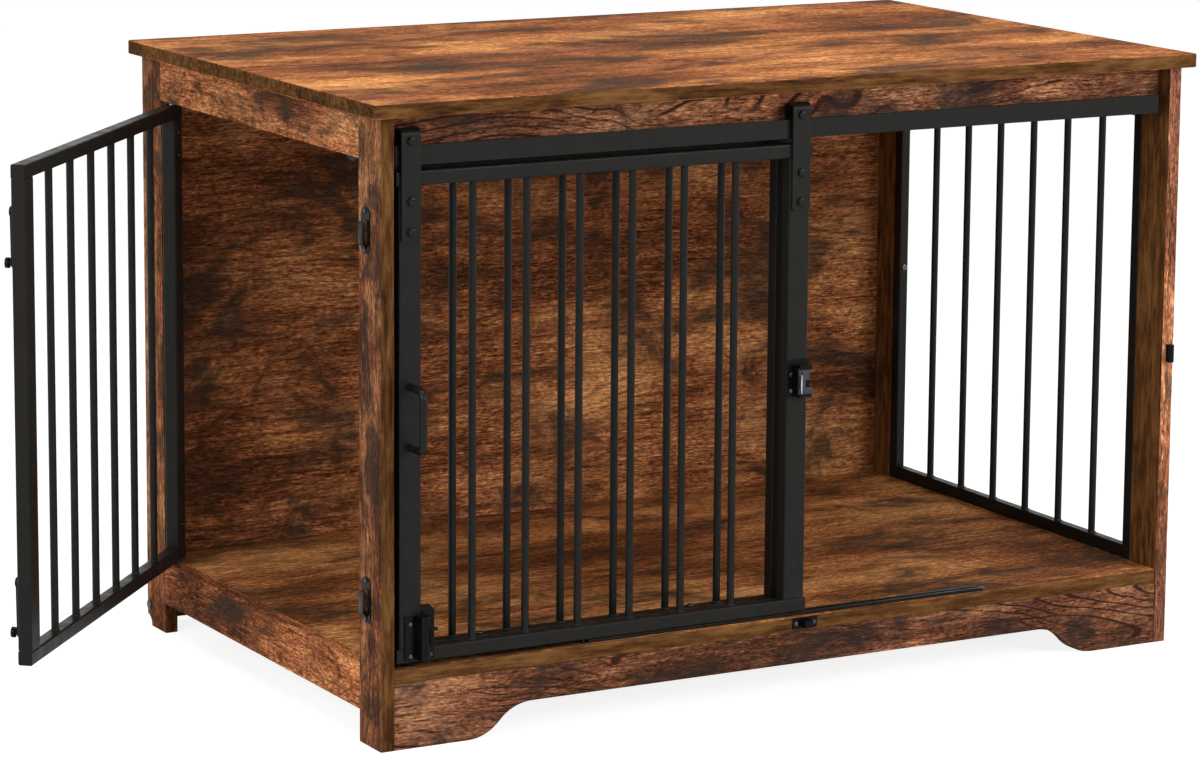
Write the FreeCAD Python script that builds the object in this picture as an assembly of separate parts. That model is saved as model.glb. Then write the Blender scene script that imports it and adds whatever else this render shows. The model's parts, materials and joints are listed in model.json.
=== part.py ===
import FreeCAD, Part
import math
import os

# A dog crate built as an end table: brown boards round a cage of black steel
# tube, a door that slides across the front and a door that swings at the left.
# Millimetres. The origin is on the floor under the middle of the cabinet,
# +X runs to the right along the front, +Y to the back and +Z up.

V = FreeCAD.Vector

# ---- cabinet boards ----
top_length = 1000.0
top_depth = 620.0
top_thickness = 15.0
top_overhang = 12.0
body_height = 647.0
board_thickness = 15.0
post_width = 50.0
foot_relief_radius = 12.0
side_top_rail_height = 46.0
side_bottom_rail_height = 50.0
side_rail_floor_gap = 34.0
apron_height = 46.0
apron_setback = 22.0
panel_setback = 1.0
back_panel_floor_gap = 8.0
arch_height = 33.0
skirt_foot_length = 84.0
skirt_flare_length = 74.0

# ---- hidden dowels and visible panel bolts ----
dowel_diameter = 8.0
dowel_length = 30.0
dowel_board_depth = 10.0
dowel_edge_inset = 11.0
dowel_opening_inset = 24.0
dowel_clearance = 0.1
dowel_end_clearance = 0.5
dowel_post_inset = 13.0
skirt_dowel_low = 16.0
skirt_dowel_high = 43.0
skirt_dowel_spread = 190.0
floor_dowel_side_spread = 149.0
floor_dowel_back_spread = 236.0
back_dowel_low = 323.0
panel_bolt_height = 24.0
panel_bolt_diameter = 6.0
panel_bolt_length = 50.0
panel_bolt_head_diameter = 11.0
panel_bolt_head_height = 2.5
fastener_clearance = 0.15
head_round_share = 0.7

# ---- flat slide rail on its standoffs ----
slide_rail_thickness = 4.0
slide_rail_height = 20.0
slide_rail_rise = 5.5
slide_rail_left_gap = 5.0
slide_rail_right_gap = 9.0
standoff_length = 10.0
standoff_diameter = 10.0
standoff_end_inset = 70.0
rail_screw_diameter = 4.0
rail_screw_head_diameter = 9.0
rail_screw_head_height = 2.5
rail_screw_grip = 28.0

# ---- sliding front door ----
tube_wall = 1.2
slide_door_width = 480.0
slide_door_depth = 15.0
slide_stile_width = 25.0
slide_rail_tube = 15.0
slide_rail_end = 2.5
slide_door_head_gap = 5.5
slide_door_floor_gap = 4.0
slide_door_parked_gap = 8.0
slide_door_closed_gap = 1.5
slide_bar_count = 6
bar_diameter = 8.0

# ---- hangers and rollers ----
strap_width = 21.5
strap_thickness = 3.0
strap_depth = 18.0
strap_lap = 55.0
strap_rail_gap = 2.4
strap_head_gap = 2.5
strap_inner_radius = 4.0
strap_foot_radius = 3.0
strap_back_gap = 3.5
roller_tread_radius = 5.0
roller_flange_radius = 6.8
roller_width = 8.0
roller_groove_clearance = 0.3
roller_tread_gap = 0.2
axle_diameter = 4.0
axle_running_clearance = 0.05
axle_collar_diameter = 7.0
axle_collar_gap = 0.3
strap_bolt_diameter = 5.0
strap_bolt_length = 12.0
strap_bolt_head_diameter = 9.0
strap_bolt_head_height = 3.0
strap_bolt_upper_drop = 15.0
strap_bolt_lower_drop = 46.0

# ---- pull handle ----
handle_diameter = 8.0
handle_centres = 62.0
handle_reach = 30.0
handle_bend_radius = 10.0
handle_rise = 254.0

# ---- barrel bolt at the foot of the left stile ----
bolt_pin_diameter = 6.0
bolt_pin_clearance = 0.08
bolt_pin_length = 46.0
bolt_travel = 16.0
bolt_stile_inset = 24.5
bolt_axis_reach = 9.8
bolt_barrel_radius = 5.5
bolt_barrel_length = 46.0
bolt_barrel_rise = 4.0
bolt_plate_thickness = 1.5
bolt_plate_left = 18.5
bolt_plate_right = 14.5
bolt_plate_left_height = 46.0
bolt_plate_right_height = 57.0
bolt_plate_chamfer = 6.0
bolt_plate_gap = 7.0
bolt_deck_gap = 6.0
bolt_knob_diameter = 3.5
bolt_knob_length = 13.0
bolt_knob_rise = 34.0
bolt_knob_angle = 45.0
bolt_slot_clearance = 0.35
bolt_screw_inset = 6.0
bolt_screw_right_inset = 4.5
bolt_screw_low = 4.5
bolt_screw_high = 8.0

# ---- keeper of the barrel bolt ----
bolt_keeper_width = 30.0
bolt_keeper_height = 12.0
bolt_keeper_drop = 1.0
bolt_keeper_thickness = 1.5
bolt_keeper_loop_gap = 0.5
bolt_keeper_loop_height = 8.0
bolt_keeper_screw_inset = 4.0

# ---- latch on the right stile ----
latch_plate_thickness = 1.5
latch_plate_width = 26.0
latch_rise = 237.0
latch_plate_below = 2.5
latch_plate_above = 8.0
latch_housing_left = 9.0
latch_housing_width = 14.5
latch_slide_reach = 7.6
latch_slide_thickness = 2.5
latch_slide_left = 16.0
latch_slide_length = 13.0
latch_slide_height = 29.0
latch_tongue_height = 8.0
latch_tongue_length = 17.0
latch_stem_width = 8.0
latch_grip_height = 13.0
latch_running_gap = 0.3
latch_lip_thickness = 1.5
latch_lip_width = 2.7
latch_lip_cover = 1.5
latch_tab_stem = 3.0
latch_tab_thickness = 2.5
latch_tab_height = 24.0
latch_tab_stem_height = 12.0
latch_screw_inset = 4.5
latch_screw_upper = 15.5
latch_screw_lower = 33.0
latch_keeper_width = 6.0
latch_keeper_inset = 4.0
latch_keeper_height = 20.0
latch_keeper_depth = 7.0
latch_keeper_wall = 1.5

# ---- floor track and guide block ----
track_left_margin = 10.0
track_right_margin = 6.0
track_width = 12.0
track_height = 3.5
track_slot = 5.0
track_floor = 1.0
track_tab = 7.0
guide_length = 20.0
guide_side_clearance = 0.3
guide_floor_clearance = 0.3

# ---- fixed grilles ----
fixed_grille_width = 491.0
fixed_grille_depth = 15.0
fixed_stile_width = 25.0
fixed_head_rail_height = 30.0
fixed_bar_count = 6
right_grille_depth = 12.0
right_stile_width = 15.0
right_bar_count = 6
grille_screw_diameter = 4.0
grille_screw_head_diameter = 8.0
grille_screw_head_height = 2.0
grille_screw_bite = 10.0
right_grille_screw_rise = 261.0

# ---- swinging left door ----
swing_door_side_gap = 3.0
swing_door_bottom_gap = 4.0
swing_door_top_gap = 3.0
swing_door_depth = 15.0
swing_stile_width = 25.0
swing_rail_tube = 15.0
swing_bar_count = 6
swing_pivot_inset = 7.0
swing_rest_angle = 42.0
swing_screw_top_first = 30.0
swing_screw_top_second = 55.0
swing_screw_bottom = 40.0
hinge_pin_diameter = 6.0
hinge_pin_clearance = 0.05
hinge_pin_bite = 12.0
hinge_pin_root = 13.0
hinge_bush_diameter = 10.0
hinge_bush_depth = 14.0
hinge_bush_flange_diameter = 14.0
hinge_bush_flange = 1.5
hinge_collar_diameter = 10.0
hinge_collar_gap = 0.3

# ---- drop levers and their keepers ----
lever_upper_drop = 49.0
lever_lower_rise = 83.0
lever_plate_thickness = 1.2
lever_plate_width = 14.0
lever_plate_above = 19.0
lever_plate_below = 10.0
lever_plate_screw_inset = 6.0
lever_thickness = 2.2
lever_gap = 0.3
lever_hub_radius = 6.5
lever_tip_radius = 5.0
lever_length = 52.0
lever_knob_diameter = 11.0
lever_knob_stem_diameter = 6.0
lever_knob_height = 6.8
lever_knob_cap_height = 3.4
lever_rivet_diameter = 4.0
lever_rivet_head_diameter = 10.0
lever_rivet_head_height = 1.2
lever_keeper_width = 19.0
lever_keeper_post_inset = 8.0
lever_keeper_height = 47.0
lever_keeper_above = 5.0
lever_keeper_thickness = 1.2
lever_keeper_corner = 8.0
lever_hook_width = 10.5
lever_hook_top = 9.0
lever_hook_bottom = 32.3
lever_hook_foot = 36.0
lever_hook_gap = 0.4
lever_hook_offset = 1.5
lever_hook_slope = 2.4
lever_hook_inner_slope = 0.7
lever_keeper_screw_inset = 3.5

# ---- door stop and small screws ----
stop_top_width = 50.0
stop_bottom_width = 9.0
stop_drop = 9.5
stop_lap = 10.0
stop_thickness = 2.0
stop_post_inset = 46.0
small_screw_diameter = 2.5
small_screw_length = 9.0
small_screw_head_diameter = 5.0
small_screw_head_height = 1.4

# ---- places that follow from the sizes ----
body_x = top_length / 2 - top_overhang
body_y = top_depth / 2 - top_overhang
inner_x = body_x - board_thickness
post_inner_y = body_y - post_width
deck_z = side_rail_floor_gap + side_bottom_rail_height
side_head_z = body_height - side_top_rail_height
apron_z = body_height - apron_height
apron_front = -body_y + apron_setback
apron_back = apron_front + board_thickness
panel_front = -body_y + panel_setback
panel_bottom = deck_z - board_thickness
board_mid = board_thickness / 2

slide_rail_back = apron_front - standoff_length
slide_rail_front = slide_rail_back - slide_rail_thickness
slide_rail_mid_y = (slide_rail_front + slide_rail_back) / 2
slide_rail_mid_z = apron_z + slide_rail_rise
slide_rail_top = slide_rail_mid_z + slide_rail_height / 2

door_front = slide_rail_front - strap_rail_gap
door_back = door_front + slide_door_depth
door_mid_y = (door_front + door_back) / 2
door_left = -inner_x + slide_door_parked_gap
door_right = door_left + slide_door_width
door_bottom = deck_z + slide_door_floor_gap
door_top = slide_rail_mid_z - slide_rail_height / 2 - slide_door_head_gap
left_stile_x = door_left + slide_stile_width / 2
right_stile_x = door_right - slide_stile_width / 2
slide_travel = inner_x - slide_door_closed_gap - door_right - slide_rail_end

strap_front = door_front - strap_thickness
strap_back = strap_front + strap_depth
axle_z = slide_rail_top + roller_tread_gap + roller_tread_radius
strap_top = axle_z + roller_flange_radius + strap_head_gap + strap_thickness
strap_bottom = door_top - slide_rail_tube - strap_lap
strap_back_leg = slide_rail_mid_z + standoff_diameter / 2 + strap_back_gap

bolt_x = door_left + bolt_stile_inset
bolt_y = door_front - bolt_axis_reach
bolt_pin_foot = deck_z + bolt_deck_gap
bolt_barrel_z = door_bottom + bolt_barrel_rise
bolt_keeper_x = bolt_x + slide_travel
guide_x = (door_left + door_right) / 2
track_left = guide_x - guide_length / 2 - track_left_margin
track_right = guide_x + slide_travel + guide_length / 2 + track_right_margin
bolt_plate_bottom = deck_z + bolt_plate_gap
bolt_knob_height = bolt_barrel_z + bolt_knob_rise
latch_slide_bottom = door_bottom + latch_rise
latch_slide_top = latch_slide_bottom + latch_slide_height
latch_plate_bottom = latch_slide_bottom - latch_plate_below
latch_plate_top = latch_slide_top + latch_plate_above

grille_right = -inner_x + fixed_grille_width
grille_front = apron_back
grille_back = grille_front + fixed_grille_depth
grille_mid_y = (grille_front + grille_back) / 2
grille_top = apron_z + slide_rail_tube

swing_half = post_inner_y - swing_door_side_gap
swing_bottom = deck_z + swing_door_bottom_gap
swing_top = side_head_z - swing_door_top_gap
swing_pivot_x = -body_x + swing_pivot_inset
swing_pivot_y = swing_half - swing_stile_width / 2
swing_outer = swing_pivot_x - swing_door_depth / 2
swing_inner = swing_pivot_x + swing_door_depth / 2
lever_y = -swing_half + swing_stile_width / 2
lever_upper_height = swing_top - lever_upper_drop
lever_lower_height = swing_bottom + lever_lower_rise
lever_back = swing_outer - lever_plate_thickness - lever_gap
lever_front = lever_back - lever_thickness

# two places nearer than this are the same
same_place = 0.01

X_AXIS = V(1, 0, 0)
Y_AXIS = V(0, 1, 0)
Z_AXIS = V(0, 0, 1)


def block(x0, x1, y0, y1, z0, z1):
    """A box between two corners."""
    corner = V(min(x0, x1), min(y0, y1), min(z0, z1))
    return Part.makeBox(abs(x1 - x0), abs(y1 - y0), abs(z1 - z0), corner)


def tube(x0, x1, y0, y1, z0, z1):
    """A rectangular steel tube with closed ends."""
    outer = block(x0, x1, y0, y1, z0, z1)
    inner = block(min(x0, x1) + tube_wall, max(x0, x1) - tube_wall,
                  min(y0, y1) + tube_wall, max(y0, y1) - tube_wall,
                  min(z0, z1) + tube_wall, max(z0, z1) - tube_wall)
    return outer.cut(inner)


def rod(start, direction, length, diameter):
    """A round bar from a point along a direction."""
    return Part.makeCylinder(diameter / 2, length, start, direction)


def plate(points, thickness):
    """A flat outline of points pushed along a vector."""
    return Part.Face(Part.makePolygon(points + [points[0]])).extrude(thickness)


def fastener(seat, into, shank_diameter, shank_length, head_diameter, head_height):
    """A round-headed screw: the head stands on the seat and the shank runs into the work."""
    head = rod(seat, into * -1, head_height, head_diameter)
    crown = seat - into * head_height
    rim = [edge for edge in head.Edges
           if edge.Length > head_height * 2 and (edge.CenterOfMass - crown).Length < same_place]
    head = head.makeFillet(head_height * head_round_share, rim)
    shank = rod(seat, into, shank_length, shank_diameter)
    return head.fuse(shank).removeSplitter()


def shank_hole(seat, into, diameter, length):
    """The hole that a fastener's shank runs in."""
    start = seat - into * dowel_end_clearance
    return rod(start, into, length + 2 * dowel_end_clearance, diameter + 2 * fastener_clearance)


def drilled(shape, holes):
    """The shape with each hole cut from it."""
    for hole in holes:
        shape = shape.cut(hole)
    return shape


def group(shapes):
    """Several separate solids that share one node."""
    return Part.makeCompound(shapes)


def spaced(low, high, count):
    """Places that divide a clear opening into equal gaps."""
    step = (high - low) / (count + 1)
    return [low + step * (i + 1) for i in range(count)]


def small_screw(seat, into):
    return fastener(seat, into, small_screw_diameter, small_screw_length,
                    small_screw_head_diameter, small_screw_head_height)


def small_hole(seat, into):
    return shank_hole(seat, into, small_screw_diameter, small_screw_length)


# ---- dowels: where each one starts, which way it runs, how deep its start lies ----
def dowel_sites():
    sites = []
    half = dowel_length / 2
    top_pair = (side_head_z + dowel_opening_inset, body_height - dowel_edge_inset)
    bottom_pair = (side_rail_floor_gap + dowel_edge_inset, deck_z - dowel_opening_inset)
    for side in (-1, 1):
        mid_x = side * (body_x - board_mid)
        for end in (-1, 1):
            for z in top_pair + bottom_pair:
                sites.append((V(mid_x, end * (post_inner_y - half), z), V(0, end, 0)))
            top_start = body_height + dowel_board_depth
            sites.append((V(mid_x, end * (body_y - dowel_post_inset), top_start), V(0, 0, -1)))
        into_board = side * (inner_x + dowel_board_depth)
        inward = V(-side, 0, 0)
        apron_mid = apron_front + board_mid
        for z in (apron_z + dowel_edge_inset, body_height - dowel_edge_inset):
            sites.append((V(into_board, apron_mid, z), inward))
        for z in (skirt_dowel_low, skirt_dowel_high):
            sites.append((V(into_board, panel_front + board_mid, z), inward))
        for y in (-floor_dowel_side_spread, floor_dowel_side_spread):
            sites.append((V(into_board, y, deck_z - board_mid), inward))
        for z in (back_dowel_low, side_head_z):
            sites.append((V(into_board, body_y - board_mid, z), inward))
        skirt_start = panel_bottom + dowel_board_depth
        sites.append((V(side * skirt_dowel_spread, panel_front + board_mid, skirt_start), V(0, 0, -1)))
        panel_start = body_y - board_thickness + dowel_board_depth
        sites.append((V(side * floor_dowel_back_spread, panel_start, deck_z - board_mid), V(0, -1, 0)))
    return sites


def make_dowels():
    return group([rod(start, way, dowel_length, dowel_diameter) for start, way in dowel_sites()])


def dowel_holes():
    return [rod(start - way * dowel_end_clearance, way,
                dowel_length + 2 * dowel_end_clearance,
                dowel_diameter + 2 * dowel_clearance) for start, way in dowel_sites()]


# ---- boards ----
def make_table_top():
    return block(-top_length / 2, top_length / 2, -top_depth / 2, top_depth / 2,
                 body_height, body_height + top_thickness)


def make_front_post(side):
    return block(side * inner_x, side * body_x, -body_y, -post_inner_y, 0, body_height)


def make_back_post(side):
    post = block(side * inner_x, side * body_x, post_inner_y, body_y, 0, body_height)
    relief = rod(V(-body_x - 1, body_y, 0), X_AXIS, 2 * body_x + 2, 2 * foot_relief_radius)
    return post.cut(relief)


def make_side_rail(side, low, high):
    return block(side * inner_x, side * body_x, -post_inner_y, post_inner_y, low, high)


def make_apron():
    return block(-inner_x, inner_x, apron_front, apron_back, apron_z, body_height)


def make_back_panel():
    return block(-inner_x, inner_x, body_y - board_thickness, body_y,
                 back_panel_floor_gap, body_height)


def make_bottom_panel():
    return block(-inner_x, inner_x, panel_front, body_y - board_thickness, panel_bottom, deck_z)


def make_skirt():
    """A board whose lower edge is an arch with an ogee at each end."""
    foot_x = inner_x - skirt_foot_length
    flat_x = foot_x - skirt_flare_length
    mid_x = (foot_x + flat_x) / 2
    mid_z = arch_height / 2
    # two equal arcs, level at both ends, meet half-way up the flare
    half_run = skirt_flare_length / 2
    radius = (half_run ** 2 + mid_z ** 2) / (2 * mid_z)
    turn = math.asin(half_run / radius) / 2
    sag_x = radius * math.sin(turn)
    sag_z = radius * (1 - math.cos(turn))

    def flare(side):
        foot = V(side * foot_x, 0, 0)
        middle = V(side * mid_x, 0, mid_z)
        flat = V(side * flat_x, 0, arch_height)
        low = Part.Arc(foot, V(side * (foot_x - sag_x), 0, sag_z), middle).toShape()
        high = Part.Arc(middle, V(side * (flat_x + sag_x), 0, arch_height - sag_z), flat).toShape()
        return low, high

    left_low, left_high = flare(-1)
    right_low, right_high = flare(1)
    corners = [V(foot_x, 0, 0), V(inner_x, 0, 0), V(inner_x, 0, panel_bottom),
               V(-inner_x, 0, panel_bottom), V(-inner_x, 0, 0), V(-foot_x, 0, 0)]
    edges = [Part.LineSegment(a, b).toShape() for a, b in zip(corners, corners[1:])]
    arch = Part.LineSegment(V(-flat_x, 0, arch_height), V(flat_x, 0, arch_height)).toShape()
    edges += [left_low, left_high, arch, right_high, right_low]
    wire = Part.Wire(Part.__sortEdges__(edges))
    skirt = Part.Face(wire).extrude(V(0, board_thickness, 0))
    skirt.translate(V(0, panel_front, 0))
    return skirt


def panel_bolt_sites():
    return [(V(side * body_x, body_y - board_mid, panel_bolt_height), V(-side, 0, 0))
            for side in (-1, 1)]


def make_boards():
    boards = {
        "table_top": make_table_top(),
        "post_front_left": make_front_post(-1),
        "post_front_right": make_front_post(1),
        "post_back_left": make_back_post(-1),
        "post_back_right": make_back_post(1),
        "side_rail_left_top": make_side_rail(-1, side_head_z, body_height),
        "side_rail_left_bottom": make_side_rail(-1, side_rail_floor_gap, deck_z),
        "side_rail_right_top": make_side_rail(1, side_head_z, body_height),
        "side_rail_right_bottom": make_side_rail(1, side_rail_floor_gap, deck_z),
        "front_apron": make_apron(),
        "back_panel": make_back_panel(),
        "bottom_panel": make_bottom_panel(),
        "front_skirt": make_skirt(),
    }
    holes = group(dowel_holes())
    bolt_holes = group([shank_hole(seat, into, panel_bolt_diameter, panel_bolt_length)
                        for seat, into in panel_bolt_sites()])
    for name in boards:
        boards[name] = boards[name].cut(holes)
    for name in ("post_back_left", "post_back_right", "back_panel"):
        boards[name] = boards[name].cut(bolt_holes)
    return boards


# ---- slide rail ----
def standoff_places():
    left = -inner_x + standoff_end_inset
    right = inner_x - standoff_end_inset
    return [left + (right - left) * i / 3 for i in range(4)]


def rail_screw_sites():
    """Screws from inside the crate; those behind the fixed grille also hold its top rail."""
    sites = []
    for x in standoff_places():
        through = fixed_grille_depth if x < grille_right else 0.0
        sites.append((V(x, apron_back + through, slide_rail_mid_z), V(0, -1, 0),
                      rail_screw_diameter, rail_screw_grip + through))
    return sites


def make_slide_rail():
    bar = block(-inner_x + slide_rail_left_gap, inner_x - slide_rail_right_gap,
                slide_rail_front, slide_rail_back,
                slide_rail_mid_z - slide_rail_height / 2, slide_rail_top)
    return drilled(bar, rail_screw_holes())


def make_standoffs():
    posts = [rod(V(x, slide_rail_back, slide_rail_mid_z), Y_AXIS, standoff_length, standoff_diameter)
             for x in standoff_places()]
    return group([drilled(post, [hole]) for post, hole in zip(posts, rail_screw_holes())])


def make_rail_screws():
    return group([fastener(*site, rail_screw_head_diameter, rail_screw_head_height)
                  for site in rail_screw_sites()])


def rail_screw_holes():
    return [shank_hole(*site) for site in rail_screw_sites()]


# ---- guide track on the floor board ----
def track_screw_sites():
    places = (track_left - track_tab / 2, track_right + track_tab / 2)
    return [(V(x, door_mid_y, deck_z + track_floor), V(0, 0, -1)) for x in places]


def make_guide_track():
    floor = block(track_left - track_tab, track_right + track_tab, door_mid_y - track_width / 2,
                  door_mid_y + track_width / 2, deck_z, deck_z + track_floor)
    walls = [block(track_left, track_right, door_mid_y + side * track_slot / 2,
                   door_mid_y + side * track_width / 2, deck_z, deck_z + track_height)
             for side in (-1, 1)]
    track = floor.fuse(walls).removeSplitter()
    return drilled(track, [small_hole(*site) for site in track_screw_sites()])


# ---- fixed grille behind the parked door ----
def fixed_bar_places():
    return spaced(-inner_x + fixed_stile_width, grille_right - fixed_stile_width, fixed_bar_count)


def grille_screw_sites():
    bars = fixed_bar_places()
    places = ((bars[0] + bars[1]) / 2, (bars[-2] + bars[-1]) / 2)
    sites = []
    for x in places:
        sites.append((V(x, grille_mid_y, deck_z + slide_rail_tube), V(0, 0, -1), slide_rail_tube))
    mid_x = inner_x + right_grille_depth / 2
    for end in (-1, 1):
        seat = V(mid_x, end * (post_inner_y - right_stile_width), deck_z + right_grille_screw_rise)
        sites.append((seat, V(0, end, 0), right_stile_width))
    return sites


def make_grille_screws():
    return group([fastener(seat, into, grille_screw_diameter, through + grille_screw_bite,
                           grille_screw_head_diameter, grille_screw_head_height)
                  for seat, into, through in grille_screw_sites()])


def grille_screw_holes():
    return group([shank_hole(seat, into, grille_screw_diameter, through + grille_screw_bite)
                  for seat, into, through in grille_screw_sites()])


def make_fixed_grille():
    left = -inner_x
    inner_left = left + fixed_stile_width
    inner_right = grille_right - fixed_stile_width
    low = deck_z + slide_rail_tube
    high = grille_top - fixed_head_rail_height
    stiles = [tube(left, inner_left, grille_front, grille_back, deck_z, grille_top),
              tube(inner_right, grille_right, grille_front, grille_back, deck_z, grille_top)]
    bars = [rod(V(x, grille_mid_y, low), Z_AXIS, high - low, bar_diameter)
            for x in fixed_bar_places()]
    holes = group([grille_screw_holes()] + rail_screw_holes())
    rails = [tube(inner_left, inner_right, grille_front, grille_back, z0, z1).cut(holes)
             for z0, z1 in ((deck_z, low), (high, grille_top))]
    return {
        "fixed_grille_stiles": group(stiles),
        "fixed_grille_rails": group(rails),
        "fixed_grille_bars": group(bars),
    }


def make_right_grille():
    outer = inner_x + right_grille_depth
    inside = post_inner_y - right_stile_width
    low = deck_z + slide_rail_tube
    high = side_head_z - slide_rail_tube
    holes = grille_screw_holes()
    stiles = [tube(inner_x, outer, side * inside, side * post_inner_y, deck_z, side_head_z).cut(holes)
              for side in (-1, 1)]
    rails = [tube(inner_x, outer, -inside, inside, z, z + slide_rail_tube) for z in (deck_z, high)]
    mid_x = (inner_x + outer) / 2
    bars = [rod(V(mid_x, y, low), Z_AXIS, high - low, bar_diameter)
            for y in spaced(-inside, inside, right_bar_count)]
    return {
        "right_grille_stiles": group(stiles),
        "right_grille_rails": group(rails),
        "right_grille_bars": group(bars),
    }


# ---- sliding door ----
def strap_bolt_sites():
    top = door_top - slide_rail_tube
    return [(V(x, strap_front, top - drop), Y_AXIS)
            for x in (left_stile_x, right_stile_x)
            for drop in (strap_bolt_upper_drop, strap_bolt_lower_drop)]


def slide_screw_sites():
    plate_face = door_front - bolt_plate_thickness
    left_x = bolt_x - bolt_plate_left + bolt_screw_inset
    right_x = bolt_x + bolt_plate_right - bolt_screw_right_inset
    latch_face = door_front - latch_plate_thickness
    latch_x = door_right - slide_stile_width + latch_screw_inset
    sites = [V(left_x, plate_face, bolt_plate_bottom + bolt_screw_low),
             V(left_x, plate_face, bolt_plate_bottom + bolt_plate_left_height - bolt_screw_high),
             V(right_x, plate_face, bolt_plate_bottom + bolt_screw_low),
             V(latch_x, latch_face, latch_plate_top - latch_screw_upper),
             V(latch_x, latch_face, latch_plate_top - latch_screw_lower)]
    return [(seat, Y_AXIS) for seat in sites]


def make_slide_door():
    front, back = door_front, door_back
    low = door_bottom + slide_rail_tube
    high = door_top - slide_rail_tube
    inner_left = door_left + slide_stile_width
    inner_right = door_right - slide_stile_width
    rail_left = door_left - slide_rail_end
    rail_right = door_right + slide_rail_end
    bolt_holes = [shank_hole(seat, into, strap_bolt_diameter, strap_bolt_length)
                  for seat, into in strap_bolt_sites()]
    screw_holes = [small_hole(*site) for site in slide_screw_sites()]
    stile_holes = group(bolt_holes + screw_holes)
    bars = [rod(V(x, door_mid_y, low), Z_AXIS, high - low, bar_diameter)
            for x in spaced(inner_left, inner_right, slide_bar_count)]
    return {
        "slide_door_stile_left": tube(door_left, inner_left, front, back, low, high).cut(stile_holes),
        "slide_door_stile_right": tube(inner_right, door_right, front, back, low, high).cut(stile_holes),
        "slide_door_rail_top": tube(rail_left, rail_right, front, back, high, door_top),
        "slide_door_rail_bottom": tube(rail_left, rail_right, front, back,
                                       door_bottom, low).cut(group(screw_holes)),
        "slide_door_bars": group(bars),
    }


def make_strap(centre_x):
    """A flat strap bent over the rail: long leg in front, short leg behind."""
    left = centre_x - strap_width / 2
    outer_radius = strap_inner_radius + strap_thickness
    inner_front = strap_front + strap_thickness
    inner_back = strap_back - strap_thickness

    def rounded(front, back, low, top, radius):
        body = block(left, left + strap_width, front, back, low, top)
        edges = [edge for edge in body.Edges
                 if all(abs(v.Point.z - top) < same_place for v in edge.Vertexes)
                 and abs(edge.Vertexes[0].Point.y - edge.Vertexes[1].Point.y) < same_place]
        return body.makeFillet(radius, edges)

    outside = rounded(strap_front, strap_back, strap_bottom, strap_top, outer_radius)
    inside = rounded(inner_front, inner_back, strap_bottom - 1, strap_top - strap_thickness,
                     strap_inner_radius)
    behind = block(left - 1, left + strap_width + 1, inner_front, strap_back + 1,
                   strap_bottom - 1, strap_back_leg)
    strap = outside.cut(inside).cut(behind)
    foot_corners = [edge for edge in strap.Edges
                    if all(abs(v.Point.z - strap_bottom) < same_place for v in edge.Vertexes)
                    and abs(edge.Vertexes[0].Point.x - edge.Vertexes[1].Point.x) < same_place]
    strap = strap.makeFillet(strap_foot_radius, foot_corners)
    holes = [shank_hole(seat, into, strap_bolt_diameter, strap_bolt_length)
             for seat, into in strap_bolt_sites()]
    holes.append(rod(V(centre_x, strap_front - 1, axle_z), Y_AXIS, strap_depth + 2,
                     axle_diameter + 2 * fastener_clearance))
    return drilled(strap, holes)


def make_roller(centre_x):
    """A grooved wheel that straddles the rail and runs on its top edge."""
    groove = slide_rail_thickness + 2 * roller_groove_clearance
    start = V(centre_x, slide_rail_mid_y - roller_width / 2, axle_z)
    wheel = rod(start, Y_AXIS, roller_width, 2 * roller_flange_radius)
    ring = rod(V(centre_x, slide_rail_mid_y - groove / 2, axle_z), Y_AXIS, groove,
               2 * roller_flange_radius + 2)
    core = rod(V(centre_x, slide_rail_mid_y - groove / 2, axle_z), Y_AXIS, groove,
               2 * roller_tread_radius)
    bore = rod(start - Y_AXIS, Y_AXIS, roller_width + 2, axle_diameter + 2 * axle_running_clearance)
    return wheel.cut(ring.cut(core)).cut(bore)


def make_axle(centre_x):
    """A dome-headed axle with a collar that keeps the roller off the back leg."""
    axle = fastener(V(centre_x, strap_front, axle_z), Y_AXIS, axle_diameter, strap_depth,
                    strap_bolt_head_diameter, strap_bolt_head_height)
    collar_front = slide_rail_mid_y + roller_width / 2 + axle_collar_gap
    collar_back = strap_back - strap_thickness
    collar = rod(V(centre_x, collar_front, axle_z), Y_AXIS, collar_back - collar_front,
                 axle_collar_diameter)
    return axle.fuse(collar).removeSplitter()


def make_strap_bolts():
    return group([fastener(seat, into, strap_bolt_diameter, strap_bolt_length,
                           strap_bolt_head_diameter, strap_bolt_head_height)
                  for seat, into in strap_bolt_sites()])


def make_handle():
    """A round bar bent into a D, its feet on the left stile."""
    middle = door_bottom + handle_rise
    low = middle - handle_centres / 2
    high = middle + handle_centres / 2
    out = door_front - handle_reach
    bend = handle_bend_radius
    small = bend * (1 - math.sqrt(0.5))

    def at(y, z):
        return V(left_stile_x, y, z)

    path = Part.Wire([
        Part.LineSegment(at(door_front, low), at(out + bend, low)).toShape(),
        Part.Arc(at(out + bend, low), at(out + small, low + small), at(out, low + bend)).toShape(),
        Part.LineSegment(at(out, low + bend), at(out, high - bend)).toShape(),
        Part.Arc(at(out, high - bend), at(out + small, high - small), at(out + bend, high)).toShape(),
        Part.LineSegment(at(out + bend, high), at(door_front, high)).toShape(),
    ])
    section = Part.Wire([Part.makeCircle(handle_diameter / 2, at(door_front, low), Y_AXIS)])
    return path.makePipeShell([section], True, False)


def knob_way():
    angle = math.radians(bolt_knob_angle)
    return V(math.sin(angle), -math.cos(angle), 0)


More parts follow.
